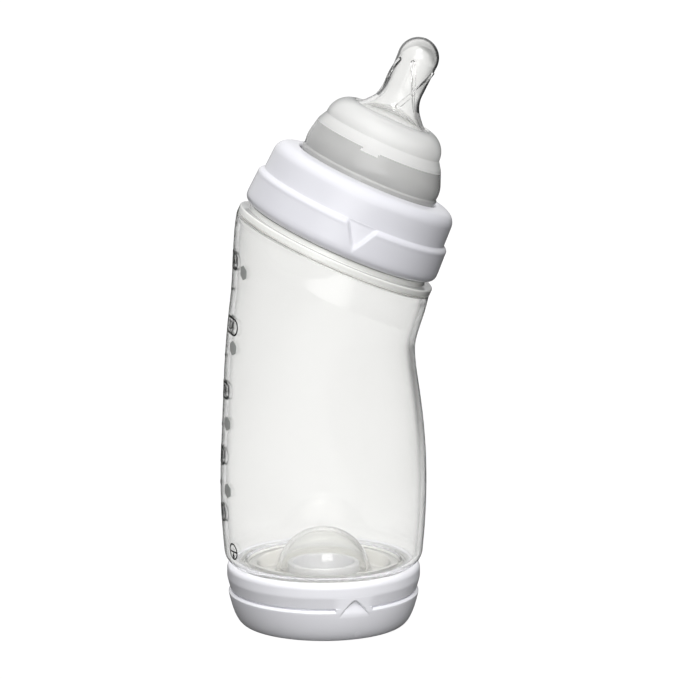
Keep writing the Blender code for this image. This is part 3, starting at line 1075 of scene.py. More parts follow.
@dataclass
class Nipple:
    """The silicone nipple: clamped flange, clear band, frosted dome and ribbed teat."""

    axes: Axes
    wall: float = 1.5
    teat_wall: float = 0.7
    rim_level: float = 25.6
    hole_radius: float = 21.3
    flange: float = 1.8
    flange_round: float = 0.5
    flange_root: float = 0.3
    mouth_rise: float = 1.2
    band_foot: float = 1.0
    band_height: float = 9.7
    band_tuck: float = 1.9
    band_bend: float = 5.9
    band_rounds: tuple[float, float] = (3.0, 14.0)        # at its top, and at its bend
    band_ramp: float = 2.4
    band_rows: float = 0.4
    bead: float = 0.4
    bead_levels: tuple[float, float] = (1.4, 0.9)         # where it slopes out, above the rim
    bead_round: float = 0.3
    dome_radius: float = 17.9
    dome_round: float = 6.6
    dome_start: float = 84.0
    dome_steps: int = 24
    dome_foot_round: float = 12.0
    dome_slope: float = 14.0
    dome_height: float = 18.8
    flare: float = 8.6
    flare_sweep: float = 70.0
    flare_steps: int = 30
    flare_clear: float = 0.45         # up to this share of its radius, the flare is dark at its edge alone
    crease_width: float = 0.7
    crease_depth: float = 0.7
    crease_start: float = 0.55        # share of the flare's sweep at which the crease begins to sink
    crease_lip: tuple[float, float] = (0.25, 0.1)         # in from the dome's edge, down from the flare's
    crease_round: float = 0.2
    crease_lift: float = 0.03
    waist_radius: float = 5.6
    bulb_radius: float = 6.05
    bulb_end: float = -8.0
    bulb_steps: int = 26
    teat_height: float = 43.1
    teat_rows: tuple[float, float] = (0.3, 0.25)          # on the bulb, and on the flare
    hole: float = 0.6
    lean: float = 0.8
    lean_drop: float = 17.0
    lean_height: float = 11.0
    rib_width: float = 1.1
    rib_height: float = 0.55
    rib_edge: float = 0.25
    rib_low: float = 22.4
    rib_high: float = 34.7
    rib_twist: float = math.radians(66)
    rib_starts: tuple[float, ...] = (math.radians(-91), math.radians(29), math.radians(149))
    frost_height: float = 9.0
    frost_top: float = 0.2
    frost_inset: float = 0.3
    tab_angle: float = math.radians(-100)
    tab_width: float = 4.8
    tab_depth: float = 1.1
    sides: int = 256

    def ribs(self, angles: np.ndarray, radius: float, level: float) -> np.ndarray:
        """Raise the spiral ribs of the teat.

        Args:
            angles: The row's angles.
            radius: The plain teat's radius.
            level: The row's level.

        Returns:
            The teat's radius at each angle.
        """
        raised = np.zeros(len(angles))
        low, high = self.rim_level + self.rib_low, self.rim_level + self.rib_high
        over = max(low - level, level - high, 0.0)
        climb = (high - low) / (self.rib_twist * self.waist_radius)
        slant = climb / math.hypot(climb, 1.0)
        for start in self.rib_starts:
            middle = start + self.rib_twist * between(level, low, high)
            away = np.hypot(nearest_turn(angles - middle) * radius * slant, over)
            raised = np.maximum(raised, ease((self.rib_width / 2 - away) / self.rib_edge + 0.5))
        return radius + self.rib_height * raised

    def shape(self, inset: float, thin: float, relief: Optional[Relief]) -> Outline:
        """Draw the side from the feeding hole down to the band, moved inwards.

        Args:
            inset: How far inside the outer surface it runs from the crease down.
            thin: How far inside it runs in the teat.
            relief: What the teat carries on this side.

        Returns:
            The outline, with fine rows where the ribs are.
        """
        tip = self.rim_level + self.teat_height
        crease = self.rim_level + self.dome_height
        bulb = (0.0, tip - self.bulb_radius)
        rise = self.flare * math.cos(math.radians(self.dome_slope))
        flare = (self.waist_radius + self.flare, crease + rise)
        dome = (self.dome_radius - self.dome_round, crease - self.dome_round)
        first = math.degrees(math.acos(self.hole / (self.bulb_radius - thin)))
        side = Outline()
        bulb_arc = arc(bulb, self.bulb_radius - thin, first, self.bulb_end, self.bulb_steps)
        side.run(bulb_arc, relief, self.teat_rows[0])
        sweep = []
        for i in range(self.flare_steps + 1):
            share = i / self.flare_steps
            turn = math.radians(180 + self.flare_sweep * i / self.flare_steps)
            reach = self.flare + thin + (inset - thin) * i / self.flare_steps
            drop = self.crease_depth * float(ease(between(share, self.crease_start, 1.0)))
            sweep.append((flare[0] + reach * math.cos(turn), flare[1] + reach * math.sin(turn) - drop))
        side.run(sweep, relief, self.teat_rows[1])
        if not inset:
            lip_in, lip_down = self.crease_lip
            end = Corner(*sweep[-1])
            top = Corner(dome[0] + self.crease_width, dome[1] + self.dome_round - self.crease_lift)
            lip = Corner(top.radius - lip_in, end.level - lip_down, self.crease_round)
            side.run(rounded((end, lip, top), 5)[:-1])
        side.run(arc(dome, self.dome_round - inset, self.dome_start, 0, self.dome_steps))
        band_top = self.rim_level + self.band_height
        band = self.hole_radius - inset
        return side.bend(
            Corner(self.dome_radius - inset, dome[1]),
            Corner(self.dome_radius - inset, band_top + self.band_ramp, self.dome_foot_round),
            Corner(self.hole_radius - self.band_tuck - inset, band_top, self.band_rounds[0]),
            Corner(band, band_top - self.band_bend, self.band_rounds[1]),
            Corner(band - self.bead, self.rim_level + self.bead_levels[0], self.bead_round),
            Corner(band, self.rim_level + self.bead_levels[1], self.bead_round),
            Corner(band, self.rim_level - self.band_foot),
            steps=8,
            spacing=self.band_rows,
        )

    def build(self) -> list[bpy.types.Object]:
        """Make the nipple, polished but for its frosted dome.

        Returns:
            The nipple's piece.
        """
        span = measure("nipple", self.axes.neck)
        flange_top = span.low + self.flange
        mouth = self.hole_radius - self.wall
        outer = self.shape(0.0, 0.0, self.ribs)
        outer.bend(
            Corner(self.hole_radius, self.rim_level - self.band_foot),
            Corner(self.hole_radius, flange_top, self.flange_root),
            Corner(span.radius, flange_top, self.flange_round),
            Corner(span.radius, span.low, self.flange_round),
            Corner(mouth, span.low, self.flange_root),
            Corner(mouth, span.low + self.mouth_rise),
            steps=4,
        )
        inner = self.shape(self.wall, self.teat_wall, None)
        angles = spread(self.sides)
        rings = outer.rings(angles) + inner.rings(angles)[::-1]
        lean_foot = self.rim_level + self.dome_height - self.lean_drop
        for row in rings:
            row[:, 0] -= self.lean * ease(between(float(row[0, 2]), lean_foot, lean_foot + self.lean_height))
        obj = skin("silicone_nipple", rings, self.axes.neck, True)
        outer_points = len(outer.rows) * self.sides
        for face in obj.data.polygons:
            face.material_index = self.zone(face.center / MM, max(face.vertices) < outer_points)
        looks = {
            NippleZone.TEAT: TEAT_CLEAR,
            NippleZone.FROST: DOME_FROSTED,
            NippleZone.BAND: BAND_CLEAR_PAINTED_SHADE,
            NippleZone.HOLLOW: TEAT_HOLLOW,
            NippleZone.FLARE: TEAT_FLARE,
        }
        materials = [looks[zone].build() for zone in NippleZone]
        return [finish_piece(obj, "nipple", "nipple_silicone", "nipple", *materials)]

    def zone(self, centre: Vector, outer: bool) -> NippleZone:
        """Choose a face's zone: frosted on the outside of the dome, down to the edge with its tab.

        Args:
            centre: The face's middle, about the nipple's axis.
            outer: Whether the face is on the outside.

        Returns:
            The zone.
        """
        crease = self.rim_level + self.dome_height
        lip = self.dome_radius - self.dome_round + self.crease_width - self.frost_inset
        across = abs(nearest_turn(math.atan2(centre.y, centre.x) - self.tab_angle)) * self.dome_radius
        edge = self.rim_level + self.frost_height - (self.tab_depth if across < self.tab_width / 2 else 0.0)
        if centre.z < edge:
            return NippleZone.BAND
        if not outer:
            return NippleZone.HOLLOW
        if centre.z < crease + self.frost_top and math.hypot(centre.x + self.lean, centre.y) > lip:
            return NippleZone.FROST
        if centre.z < crease + self.flare * self.flare_clear:
            return NippleZone.FLARE
        return NippleZone.TEAT


# ------------------------------------------------------------------ base cap
@dataclass
class BaseCap:
    """The white screw base: stepped side, arrow tongue, disc seat, post ring and vent holes."""

    axes: Axes
    inner_radius: float = 26.0
    hub: float = 0.5
    floor: float = 2.4
    seat: float = 3.8
    seat_width: float = 5.4
    seat_round: float = 0.3
    rim_round: float = 1.9
    rim_gap: float = 0.2
    rim_land: float = 0.5
    rim_inner_round: float = 0.3
    band_bend: float = 13.9
    band_bend_round: float = 4.0
    band_tuck: float = 0.9
    lip_radius: float = 28.3
    lip_level: float = 9.3
    lip_slope: float = 0.65
    lip_land: float = 0.6
    lip_round: float = 0.3
    lip_tuck: float = 0.1
    groove: float = 1.5
    groove_height: float = 0.55
    groove_slope: float = 0.05
    groove_round: float = 0.15
    foot_radius: float = 24.2
    foot_ring: float = 3.0
    foot_tuck: float = 0.25
    corner_tuck: float = 1.8
    corner_level: float = 1.1
    corner_steps: int = 60
    recess: float = 0.6
    post_outer: float = 10.6
    post_wall: float = 1.5
    post_top: float = 18.2
    post_round: float = 0.4
    thread_rise: float = 0.7
    thread_turns: float = 0.95
    thread_height: float = 1.0
    thread_room: float = 1.0
    thread_rows: float = 0.25
    vent_holes: int = 8
    vent_radius: float = 0.9
    vent_sides: int = 24
    mark_angle: float = math.radians(19)
    mark_width: float = 8.9
    mark_tip: float = 13.1
    mark_root: float = 7.8
    mark_depth: float = 0.75
    mark_edge: float = 0.45
    mark_nose: float = 0.9
    mark_fade: tuple[float, float] = (0.4, 1.2)           # below its root and its tip: where it sinks in
    mark_rows: float = 0.14
    mark_reach: float = math.radians(16)
    mark_fineness: float = math.radians(0.22)
    groove_break: float = 5.6
    groove_fade: float = 0.8
    tuck_fade: float = 4.0
    sides: int = 208

    def build(self) -> list[bpy.types.Object]:
        """Make the base cap, with its vent holes cut through the floor.

        Returns:
            The cap's piece.
        """
        span = measure("base_cap", self.axes.base)
        rim = span.radius
        shelf = self.lip_level + self.lip_slope
        roof = shelf + self.groove_height
        arrow = ArrowField(
            FRONT + self.mark_angle,
            self.mark_root,
            self.mark_tip,
            self.mark_width,
            self.mark_edge,
            self.mark_nose,
        )

        def tongue(angles: np.ndarray, radius: float, level: float) -> np.ndarray:
            """Sink the arrow under its two upper edges, and fill the groove and the tuck round it.

            Args:
                angles: The row's angles.
                radius: The plain side's radius.
                level: The row's level.

            Returns:
                The side's radius at each angle.
            """
            reach = radius
            if self.lip_level - self.groove_slope < level < self.band_bend:
                fade = self.groove_fade if level < roof + self.groove_slope else self.tuck_fade
                flush = rim + (self.lip_radius - rim) * between(level, self.band_bend, self.lip_level)
                across = np.abs(arrow.across(angles, radius))
                reach = radius + max(flush - radius, 0.0) * ease((self.groove_break - across) / fade + 0.5)
            low, high = self.mark_root - self.mark_fade[0], self.mark_tip - self.mark_fade[1]
            depth = self.mark_depth * float(ease(between(level, low, high)))
            return reach - depth * ease(arrow.inside(angles, radius, level) / arrow.edge)

        thread = Thread(
            self.lip_level + self.thread_rise, self.thread_turns, -self.thread_height, self.axes.lead
        )
        post_inner = self.post_outer - self.post_wall
        seat_inner = self.inner_radius - self.seat_width
        groove_floor = self.lip_radius - self.groove
        under_rim = span.high - self.rim_round - self.rim_gap
        side = Outline()
        side.run([(0.0, self.floor)])
        side.bend(
            Corner(self.hub, self.floor),
            Corner(post_inner, self.floor, self.post_round),
            Corner(post_inner, self.post_top, self.post_round),
            Corner(self.post_outer, self.post_top, self.post_round),
            Corner(self.post_outer, self.floor, self.post_round),
            Corner(seat_inner, self.floor, self.seat_round),
            Corner(seat_inner, self.seat, self.seat_round),
            Corner(self.inner_radius, self.seat, self.seat_round),
            Corner(self.inner_radius, self.seat + self.thread_room),
            steps=4,
        )
        side.run([(self.inner_radius, span.high - self.rim_land)], thread, self.thread_rows)
        side.bend(
            Corner(self.inner_radius, span.high - self.rim_land),
            Corner(self.inner_radius, span.high, self.rim_inner_round),
            Corner(rim, span.high, self.rim_round),
            Corner(rim, under_rim),
            steps=10,
        )
        start = Corner(self.lip_radius - self.lip_tuck, self.lip_level - self.lip_land)
        side.bend(
            Corner(rim, under_rim),
            Corner(rim, self.band_bend, self.band_bend_round),
            Corner(rim - self.band_tuck, roof, self.lip_round),
            Corner(groove_floor, roof - self.groove_slope, self.groove_round),
            Corner(groove_floor, shelf, self.groove_round),
            Corner(self.lip_radius - self.lip_land, shelf, self.lip_round),
            Corner(self.lip_radius, self.lip_level, self.lip_round),
            start,
            steps=6,
            relief=tongue,
            spacing=self.mark_rows,
        )
        side.run(self.lower_side(start), tongue)
        recess_edge = self.foot_radius - self.foot_ring
        side.run([(self.foot_radius - self.foot_tuck, 0.0), (recess_edge, 0.0)])
        side.run([(recess_edge - self.recess, self.recess), (self.hub, self.recess), (0.0, self.recess)])
        angles = spread(self.sides, arrow.middle, self.mark_reach, self.mark_fineness)
        cap = skin("white_base_cap", side.rings(angles), self.axes.base, False)
        self.drill(cap, (self.post_outer + seat_inner) / 2)
        return [finish_piece(cap, "base_cap", "base_cap_plastic", "base_cap", BASE_WHITE_PAINTED_LIGHT.build())]

    def lower_side(self, start: Corner) -> list[Point]:
        """Draw the curve from under the lip down to the foot.

        Args:
            start: Where it starts.

        Returns:
            Its points, without the last one on the table.
        """
        control = (self.lip_radius - self.corner_tuck, self.corner_level)
        spots = ((start.radius, start.level), control, (self.foot_radius, 0.0))
        points = []
        for i in range(self.corner_steps):
            t = i / self.corner_steps
            weights = ((1 - t) ** 2, 2 * t * (1 - t), t**2)
            points.append(tuple(sum(w * spot[k] for w, spot in zip(weights, spots)) for k in (0, 1)))
        return points

    def drill(self, cap: bpy.types.Object, circle: float) -> None:
        """Cut the vent holes through the cap's floor.

        Args:
            cap: The cap's piece.
            circle: Radius of the circle that the holes lie on.
        """
        bm = bmesh.new()
        level = (self.floor + self.recess) / 2
        for i in range(self.vent_holes):
            turn = FULL_TURN * (i + 0.5) / self.vent_holes
            spot = Vector((circle * math.cos(turn), circle * math.sin(turn), level)) * MM
            bmesh.ops.create_cone(
                bm,
                cap_ends=True,
                segments=self.vent_sides,
                radius1=self.vent_radius * MM,
                radius2=self.vent_radius * MM,
                depth=self.floor * 2 * MM,
                matrix=Matrix.Translation(spot),
            )
        mesh = bpy.data.meshes.new("vent_drill")
        bm.to_mesh(mesh)
        bm.free()
        drill = add_object("vent_drill", mesh)
        cut = cap.modifiers.new("vents", "BOOLEAN")
        cut.operation = "DIFFERENCE"
        cut.solver = "EXACT"
        cut.object = drill
        holed = bpy.data.meshes.new_from_object(cap.evaluated_get(bpy.context.evaluated_depsgraph_get()))
        cap.modifiers.clear()
        cap.data = holed
        holed.name = cap.name
        bpy.data.objects.remove(drill)


# ------------------------------------------------------------------ vent disc
@dataclass
class VentDisc:
    """The silicone diaphragm: clamped flange, stepped rim, sunken channel and domed centre."""

    axes: Axes
    wall: float = 1.2
    flange: float = 1.7
    flange_root: float = 0.3
    flange_round: float = 0.4
    wall_outer: float = 22.5
    rim_level: float = 17.9
    rim_width: float = 2.6
    rim_round: float = 0.5
    channel_level: float = 14.2
    channel_round: float = 0.7
    under_round: float = 0.6
    bubble_radius: float = 14.2
    bubble_arc: tuple[float, float, float] = (88.0, 6.0, 3.0)    # top, outer and inner foot, in degrees
    bubble_steps: int = 40
    bubble_root: tuple[float, float] = (0.1, 1.2)                # out from its foot, and up
    bubble_land: float = 0.3
    bubble_rise: float = 0.5
    thin_edge: tuple[float, float] = (0.2, 0.8)                  # where the thin wall's look begins
    sides: int = 192

    def build(self) -> list[bpy.types.Object]:
        """Make the disc.

        Returns:
            The disc's piece.
        """
        span = measure("vent_disc", self.axes.base)
        channel_outer = self.wall_outer - self.rim_width
        flange_top = span.low + self.flange
        bubble = (0.0, self.channel_level)
        hollow = self.bubble_radius - self.wall
        under = self.channel_level - self.wall
        top, outer_foot, inner_foot = self.bubble_arc
        root_out, root_up = self.bubble_root
        side = Outline()
        side.run([(0.0, self.channel_level + self.bubble_radius)])
        side.run(arc(bubble, self.bubble_radius, top, outer_foot, self.bubble_steps))
        side.bend(
            Corner(self.bubble_radius + root_out, self.channel_level + root_up),
            Corner(self.bubble_radius + self.bubble_land, self.channel_level, self.channel_round),
            Corner(channel_outer - self.wall, self.channel_level, self.channel_round),
            Corner(channel_outer, self.rim_level, self.rim_round),
            Corner(self.wall_outer, self.rim_level, self.rim_round),
            Corner(self.wall_outer, flange_top, self.flange_root),
            Corner(span.radius, flange_top, self.flange_round),
            Corner(span.radius, span.low, self.flange_round),
            Corner(self.wall_outer - self.wall, span.low, self.flange_root),
            Corner(self.wall_outer - self.wall, under, self.under_round),
            Corner(hollow, under, self.under_round),
            Corner(hollow, self.channel_level + self.bubble_rise),
            steps=5,
        )
        side.run(arc(bubble, hollow, inner_foot, top, self.bubble_steps))
        side.run([(0.0, self.channel_level + self.bubble_radius - self.wall)])
        disc = skin("silicone_vent_disc", side.rings(spread(self.sides)), self.axes.base, False)
        edge_out, edge_up = self.thin_edge
        for face in disc.data.polygons:
            centre = face.center / MM
            inside = math.hypot(centre.x, centre.y) < self.bubble_radius + edge_out
            face.material_index = int(inside and centre.z > self.channel_level + edge_up)
        looks = (DISC_SILICONE.build(), BUBBLE_SILICONE.build())
        return [finish_piece(disc, "vent_disc", "vent_silicone", "vent_disc", *looks)]


# ------------------------------------------------------------------ printed scale
class Style(Enum):
    """How a mark of the scale is drawn."""

    PILL = "outlined number of millilitres"
    FLAG = "solid mark for two ounces"
    TICK = "short line half-way between numbers"
    LEVEL = "circle with a line across"


@dataclass(frozen=True)
class Mark:
    """One mark of the scale.

    Attributes:
        style: How it is drawn.
        height: Height of the cross-section that its middle lies on.
        turn: Degrees from the bottle's back towards its front.
        number: What it says, where it has a number.
        width: Its width, where it is a flag.
    """

    style: Style
    height: float
    turn: float
    number: int = 0
    width: float = 0.0


MARKS = (
    Mark(Style.PILL, 34.4, 11.5, 50),
    Mark(Style.PILL, 51.4, 8.8, 100),
    Mark(Style.PILL, 69.9, 11.6, 150),
    Mark(Style.PILL, 85.1, 17.8, 200),
    Mark(Style.PILL, 99.2, 10.3, 250),
    Mark(Style.FLAG, 42.1, 23.2, width=4.8),
    Mark(Style.FLAG, 61.7, 19.6, width=5.4),
    Mark(Style.FLAG, 80.5, 23.6, width=4.8),
    Mark(Style.FLAG, 98.3, 29.6, width=3.9),
    Mark(Style.TICK, 42.6, 3.0),
    Mark(Style.TICK, 60.0, 3.0),
    Mark(Style.TICK, 77.5, 5.0),
    Mark(Style.TICK, 92.6, 9.0),
    Mark(Style.LEVEL, 24.2, 27.2),
)

FILL_SHARES = (1.0, 0.66, 0.33)  # where the loops of a filled mark lie, from its edge to its middle
TYPE_SIZE = 1.4                  # size of the type whose figures stand 1 high
TYPE_WEIGHT = 0.02               # how much bolder they are, as a share of their height


class InkFilm:
    """A thin film of ink, gathered mark by mark as points across, up and out of the unrolled wall."""

    def __init__(self, thickness: float) -> None:
        """Start with nothing printed.

        Args:
            thickness: How thick the ink lies.
        """
        self.thickness = thickness
        self.points: list[tuple[float, float, float]] = []
        self.faces: list[tuple[int, ...]] = []

    def line(self, outer: Sequence[Point], inner: Sequence[Point]) -> None:
        """Add a closed line between two loops of equally many points.

        Args:
            outer: The loop round it.
            inner: The loop inside it.
        """
        count, first = len(outer), len(self.points)
        for loop, out in ((outer, 0.0), (outer, self.thickness), (inner, self.thickness), (inner, 0.0)):
            self.points += [(across, up, out) for across, up in loop]
        for k in range(4):
            self.join(first + k * count, first + (k + 1) % 4 * count, count)

    def join(self, low: int, high: int, count: int) -> None:
        """Add the faces between two loops, given by the numbers of their first points."""
        loop = [(i, (i + 1) % count) for i in range(count)]
        self.faces += [(low + i, low + j, high + j, high + i) for i, j in loop]

    def patch(self, loop: Sequence[Point]) -> None:
        """Add a filled shape round the middle of its loop.

        Args:
            loop: Its edge.
        """
        count, first = len(loop), len(self.points)
        middle = np.mean(loop, axis=0)
        for out in (0.0, self.thickness):
            for share in FILL_SHARES:
                self.points += [(*(middle + (np.array(spot) - middle) * share), out) for spot in loop]
            self.points.append((*middle, out))
        side = count * len(FILL_SHARES) + 1
        self.join(first, first + side, count)
        for layer in (first, first + side):
            for k in range(len(FILL_SHARES) - 1):
                self.join(layer + k * count, layer + (k + 1) * count, count)
            last = layer + (len(FILL_SHARES) - 1) * count
            self.faces += [(last + i, last + (i + 1) % count, layer + side - 1) for i in range(count)]

    def number(self, words: str, height: float, squeeze: float) -> None:
        """Add a number in plain upright figures.

        Args:
            words: Its figures.
            height: Height of a figure.
            squeeze: Width of a figure, as a share of its usual width.
        """
        curve = bpy.data.curves.new("number", "FONT")
        curve.body = words
        curve.align_x = "CENTER"
        curve.align_y = "CENTER"
        curve.size = height * TYPE_SIZE
        curve.offset = height * TYPE_WEIGHT
        curve.extrude = self.thickness / 2
        holder = add_object("number", curve)
        graph = bpy.context.evaluated_depsgraph_get()
        mesh = bpy.data.meshes.new_from_object(holder.evaluated_get(graph))
        bpy.data.objects.remove(holder)
        first = len(self.points)
        self.points += [(v.co.x * squeeze, v.co.y, v.co.z + self.thickness / 2) for v in mesh.vertices]
        self.faces += [tuple(first + i for i in face.vertices) for face in mesh.polygons]
        bpy.data.meshes.remove(mesh)


def pill(width: float, height: float, steps: int = 12) -> list[Point]:
    """Draw a loop with straight long sides and round ends, with points along all of it.

    Args:
        width: Its width.
        height: Its height.
        steps: How many pieces each side and each end has.

    Returns:
        Its points.
    """
    reach, round_end = (width - height) / 2, height / 2
    points = arc((reach, 0.0), round_end, -90, 90, steps)
    points += [(reach - 2 * reach * i / steps, round_end) for i in range(1, steps)]
    points += arc((-reach, 0.0), round_end, 90, 270, steps)
    return points + [(-reach + 2 * reach * i / steps, -round_end) for i in range(1, steps)]


def circle(radius: float, steps: int = 24) -> list[Point]:
    """Return the points of a round loop."""
    return arc((0, 0), radius, 0, 360 - 360 / steps, steps - 1)


@dataclass
class PrintedScale:
    """The scale on the bottle's back: millilitre pills, ounce flags, ticks and a filling mark."""

    bottle: BottleBody
    pill_height: float = 5.1
    pill_ends: float = 3.6
    figure_step: float = 2.3
    stroke: float = 0.6
    figure: float = 2.8
    squeeze: float = 0.82
    flag_height: float = 4.4
    flag_steps: int = 4
    tick_width: float = 3.6
    circle_width: float = 5.1
    fine_stroke: float = 0.8          # share of the stroke that the filling mark has
    drop: float = 0.24                # radius of the filling mark's drop, as a share of the circle's
    drop_depth: float = 0.55          # how far it hangs under the line, as such a share
    drop_arc: tuple[float, float] = (130.0, 410.0)        # its round end, in degrees
    drop_steps: int = 12
    film: float = 0.04
    lift: float = 0.03

    def draw(self, mark: Mark, film: InkFilm) -> None:
        """Draw one mark round the middle of an unrolled sheet.

        Args:
            mark: The mark.
            film: The film that takes it.
        """
        if mark.style is Style.PILL:
            words = str(mark.number)
            width = self.pill_ends + self.figure_step * len(words)
            inside = pill(width - 2 * self.stroke, self.pill_height - 2 * self.stroke)
            film.line(pill(width, self.pill_height), inside)
            film.number(words, self.figure, self.squeeze)
        elif mark.style is Style.FLAG:
            film.patch(self.flag(mark.width / 2, self.flag_height / 2))
        elif mark.style is Style.TICK:
            film.patch(pill(self.tick_width, self.stroke))
        else:
            size, stroke = self.circle_width / 2, self.stroke * self.fine_stroke
            film.line(circle(size), circle(size - stroke))
            film.patch(pill(self.circle_width - self.stroke, stroke))
            drop, level = size * self.drop, -size * self.drop_depth
            film.patch(arc((0, level), drop, *self.drop_arc, self.drop_steps) + [(0, level + drop * 2)])

    def flag(self, across: float, up: float) -> list[Point]:
        """Draw a flag: six-sided, with a point above and one below.

        Args:
            across: Half its width.
            up: Half its height.

        Returns:
            Its points, with several along each side.
        """
        right = [(across, -up / 2), (across, up / 2)]
        corners = [(0, up), (-across, up / 2), (-across, -up / 2), (0, -up), *right]
        loop = []
        for (ax, ay), (bx, by) in zip(corners, corners[1:] + corners[:1]):
            for i in range(self.flag_steps):
                loop.append((ax + (bx - ax) * i / self.flag_steps, ay + (by - ay) * i / self.flag_steps))
        return loop

    def wrap(self, mark: Mark, film: InkFilm, first: int) -> list[np.ndarray]:
        """Lay the points drawn for one mark on the bottle's wall.

        Args:
            mark: The mark.
            film: The film that holds its points.
            first: Number of its first point.

        Returns:
            The points in millimetres, in the film's order.
        """
        on_wall = self.bottle.wall_point
        middle = LEFT + math.radians(mark.turn)
        radius = self.bottle.section(mark.height)[1]
        step = on_wall(middle, mark.height + 1.0, 0.0) - on_wall(middle, mark.height, 0.0)
        stretch = float(np.linalg.norm(step))
        return [
            on_wall(middle + across / radius, mark.height + up / stretch, out + self.lift)
            for across, up, out in film.points[first:]
        ]

    def build(self) -> list[bpy.types.Object]:
        """Print the black marks and the grey ones, each as one film.

        Returns:
            The two films.
        """
        made = []
        for name, ink, styles in (
            ("printed_millilitre_scale", BLACK_INK, (Style.PILL, Style.TICK, Style.LEVEL)),
            ("printed_ounce_flags", GREY_INK, (Style.FLAG,)),
        ):
            film, placed = InkFilm(self.film), []
            for mark in MARKS:
                if mark.style in styles:
                    first = len(film.points)
                    self.draw(mark, film)
                    placed += self.wrap(mark, film, first)
            obj = add_object(name, shell_mesh(name, np.array(placed), film.faces))
            made.append(finish_piece(obj, "bottle", "scale_ink", None, ink.build()))
        return made


# ------------------------------------------------------------------ stage
@dataclass(frozen=True)
class Lobe:
    """A soft patch of light in the room round the bottle.

    Attributes:
        towards: Where its middle is, seen from the bottle.
        edge: Cosine of the angle at which it ends.
        full: Cosine of the angle within which it is at full strength.
        strength: How bright it is.
    """

    towards: tuple[float, float, float]
    edge: float
    full: float
    strength: float

    def aim(self) -> Vector:
        """Return the direction of its middle."""
        return Vector(self.towards).normalized()


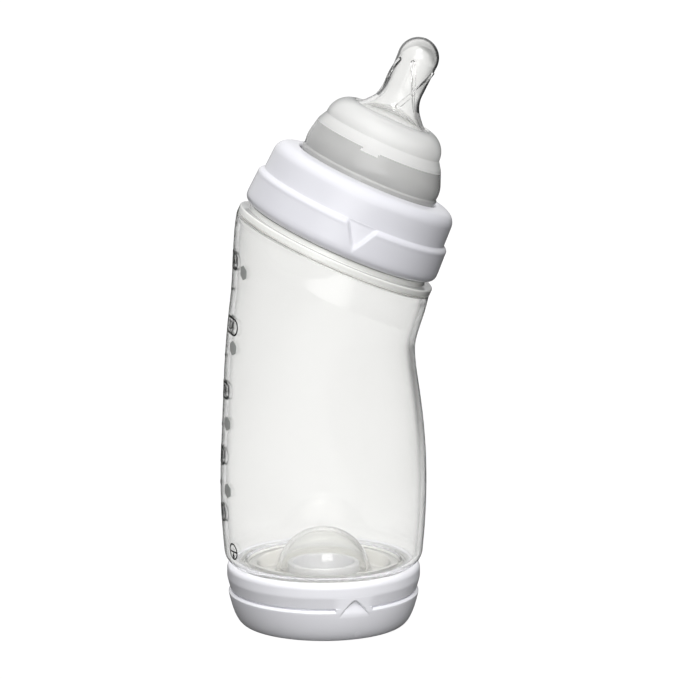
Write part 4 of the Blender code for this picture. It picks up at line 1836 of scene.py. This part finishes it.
@dataclass
class Studio:
    """A white table, a soft box, a room of soft light and a camera a metre away."""

    floor_tone: str = "#484848"
    floor_glow: float = 1.0
    floor_radius: float = 6000.0
    floor_sides: int = 96
    pale_level: float = -0.2
    shade_level: float = -0.3
    lit_level: float = -0.1
    table_glow: float = 0.95
    glow_edge: float = 80.0
    glow_end: float = 280.0
    glow_least: float = 0.3
    gloom: float = 0.06
    lobes: tuple[Lobe, ...] = (
        Lobe((0.26, -0.72, 0.62), 0.36, 0.95, 0.88),
        Lobe((0.0, -1.0, 0.12), 0.78, 0.98, 3.0),
        Lobe((-0.6, -0.3, 0.85), 0.65, 0.95, 0.6),
        Lobe((-0.3, 0.8, 0.65), 0.5, 0.92, 0.95),
        Lobe((0.0, 1.0, 0.25), 0.5, 0.9, 0.2),
    )
    box_width: float = 420.0
    box_depth: float = 300.0
    box_power: float = 3.8
    box_distance: float = 900.0
    box_aim: tuple[float, float, float] = (0.15, -0.6, 0.78)
    focal_length: float = 180.3
    sensor: float = 36.0
    distance: float = 1000.0
    elevation: float = math.radians(10.5)
    aim: tuple[float, float, float] = (4.74, 0.0, 84.96)

    def camera(self) -> None:
        """Place the camera in front of the bottle, looking slightly down."""
        data = bpy.data.cameras.new("camera")
        data.lens = self.focal_length
        data.sensor_width = self.sensor
        obj = add_object("camera", data)
        back = Vector((0.0, -math.cos(self.elevation), math.sin(self.elevation)))
        obj.location = (Vector(self.aim) + back * self.distance) * MM
        obj.rotation_euler = (math.pi / 2 - self.elevation, 0.0, 0.0)
        bpy.context.scene.camera = obj

    def disc(self, name: str, level: float, glow: float) -> tuple[bpy.types.Object, bpy.types.NodeTree]:
        """Lay a wide disc of matt acrylic, which scatters light and mirrors none.

        Args:
            name: Name of the piece.
            level: Height of its face.
            glow: How brightly it glows.

        Returns:
            The piece, and the nodes of its material.
        """
        bm = bmesh.new()
        radius = self.floor_radius * MM
        bmesh.ops.create_circle(bm, cap_ends=True, segments=self.floor_sides, radius=radius)
        mesh = bpy.data.meshes.new(name)
        bm.to_mesh(mesh)
        bm.free()
        obj = add_object(name, mesh)
        obj.location.z = level * MM
        material = bpy.data.materials.new(name)
        material.use_nodes = True
        glowing = {
            "Base Color": linear(self.floor_tone),
            "Roughness": 1.0,
            "Specular IOR Level": 0.0,
            "Emission Color": linear("#ffffff"),
            "Emission Strength": glow,
        }
        set_node(material.node_tree.nodes["Principled BSDF"], glowing)
        mesh.materials.append(material)
        obj.visible_diffuse = False
        obj.visible_glossy = False
        return obj, material.node_tree

    def floor(self) -> None:
        """Lay the pale floor, the lit table that clear plastic shows, and the shade under the bottle."""
        pale, _ = self.disc("pale_floor", self.pale_level, self.floor_glow)
        pale.visible_transmission = False
        shade, _ = self.disc("shaded_table", self.shade_level, 0.0)
        shade.visible_camera = False
        shade.visible_transmission = False
        shade.visible_diffuse = True
        shade.visible_glossy = True
        lit, tree = self.disc("lit_table", self.lit_level, self.table_glow)
        lit.visible_camera = False
        place = add_node(tree, "ShaderNodeTexCoord").outputs["Object"]
        across = add_node(tree, "ShaderNodeSeparateXYZ", links={"Vector": place}).outputs["X"]
        fading = {
            "interpolation_type": "SMOOTHSTEP",
            "From Min": self.glow_edge * MM,
            "From Max": self.glow_end * MM,
            "To Min": self.table_glow,
            "To Max": self.table_glow * self.glow_least,
        }
        glow = add_node(tree, "ShaderNodeMapRange", fading, {"Value": across})
        shader = tree.nodes["Principled BSDF"]
        tree.links.new(glow.outputs["Result"], shader.inputs["Emission Strength"])

    def room(self) -> None:
        """Surround the bottle with soft light from the front and above, and leave both sides dark."""
        world = bpy.data.worlds.new("studio")
        bpy.context.scene.world = world
        world.use_nodes = True
        tree = world.node_tree
        tree.nodes.clear()
        direction = add_node(tree, "ShaderNodeTexCoord").outputs["Generated"]
        total = None
        for lobe in self.lobes:
            turned = {"operation": "DOT_PRODUCT", 1: lobe.aim()}
            dot = add_node(tree, "ShaderNodeVectorMath", turned, {0: direction}).outputs["Value"]
            edge = {
                "interpolation_type": "SMOOTHSTEP",
                "From Min": lobe.edge,
                "From Max": lobe.full,
                "To Max": lobe.strength,
            }
            light = add_node(tree, "ShaderNodeMapRange", edge, {"Value": dot}).outputs["Result"]
            if total is not None:
                both = {0: total, 1: light}
                light = add_node(tree, "ShaderNodeMath", {"operation": "ADD"}, both).outputs[0]
            total = light
        total = add_node(tree, "ShaderNodeMath", {"operation": "ADD", 1: self.gloom}, {0: total}).outputs[0]
        glow = add_node(tree, "ShaderNodeBackground", links={"Strength": total})
        add_node(tree, "ShaderNodeOutputWorld", links={"Surface": glow.outputs[0]})

    def key(self) -> None:
        """Hang a soft box above and in front."""
        data = bpy.data.lights.new("soft_box", "AREA")
        data.shape = "RECTANGLE"
        data.size = self.box_width * MM
        data.size_y = self.box_depth * MM
        data.energy = self.box_power
        obj = add_object("soft_box", data)
        obj.visible_glossy = False
        away = Vector(self.box_aim).normalized()
        obj.location = Vector(self.aim) * MM + away * self.box_distance * MM
        obj.rotation_euler = (-away).to_track_quat("-Z", "Y").to_euler()

    def build(self) -> None:
        """Set up the whole stage."""
        self.camera()
        self.floor()
        self.room()
        self.key()
        bpy.context.scene.view_settings.view_transform = "Standard"


def main() -> None:
    """Build the bottle's pieces in order and report each, then set up the stage round them."""
    logging.basicConfig(level=logging.INFO, format="%(name)s: %(message)s")
    axes = Axes.from_frame()
    bottle = BottleBody(axes)
    for part in (BaseCap(axes), VentDisc(axes), bottle, PrintedScale(bottle), Nipple(axes), Collar(axes)):
        for piece in part.build():
            log.info("%s: %s, %d faces", type(part).__name__, piece.name, len(piece.data.polygons))
    Studio().build()


if __name__ == "__main__":
    main()
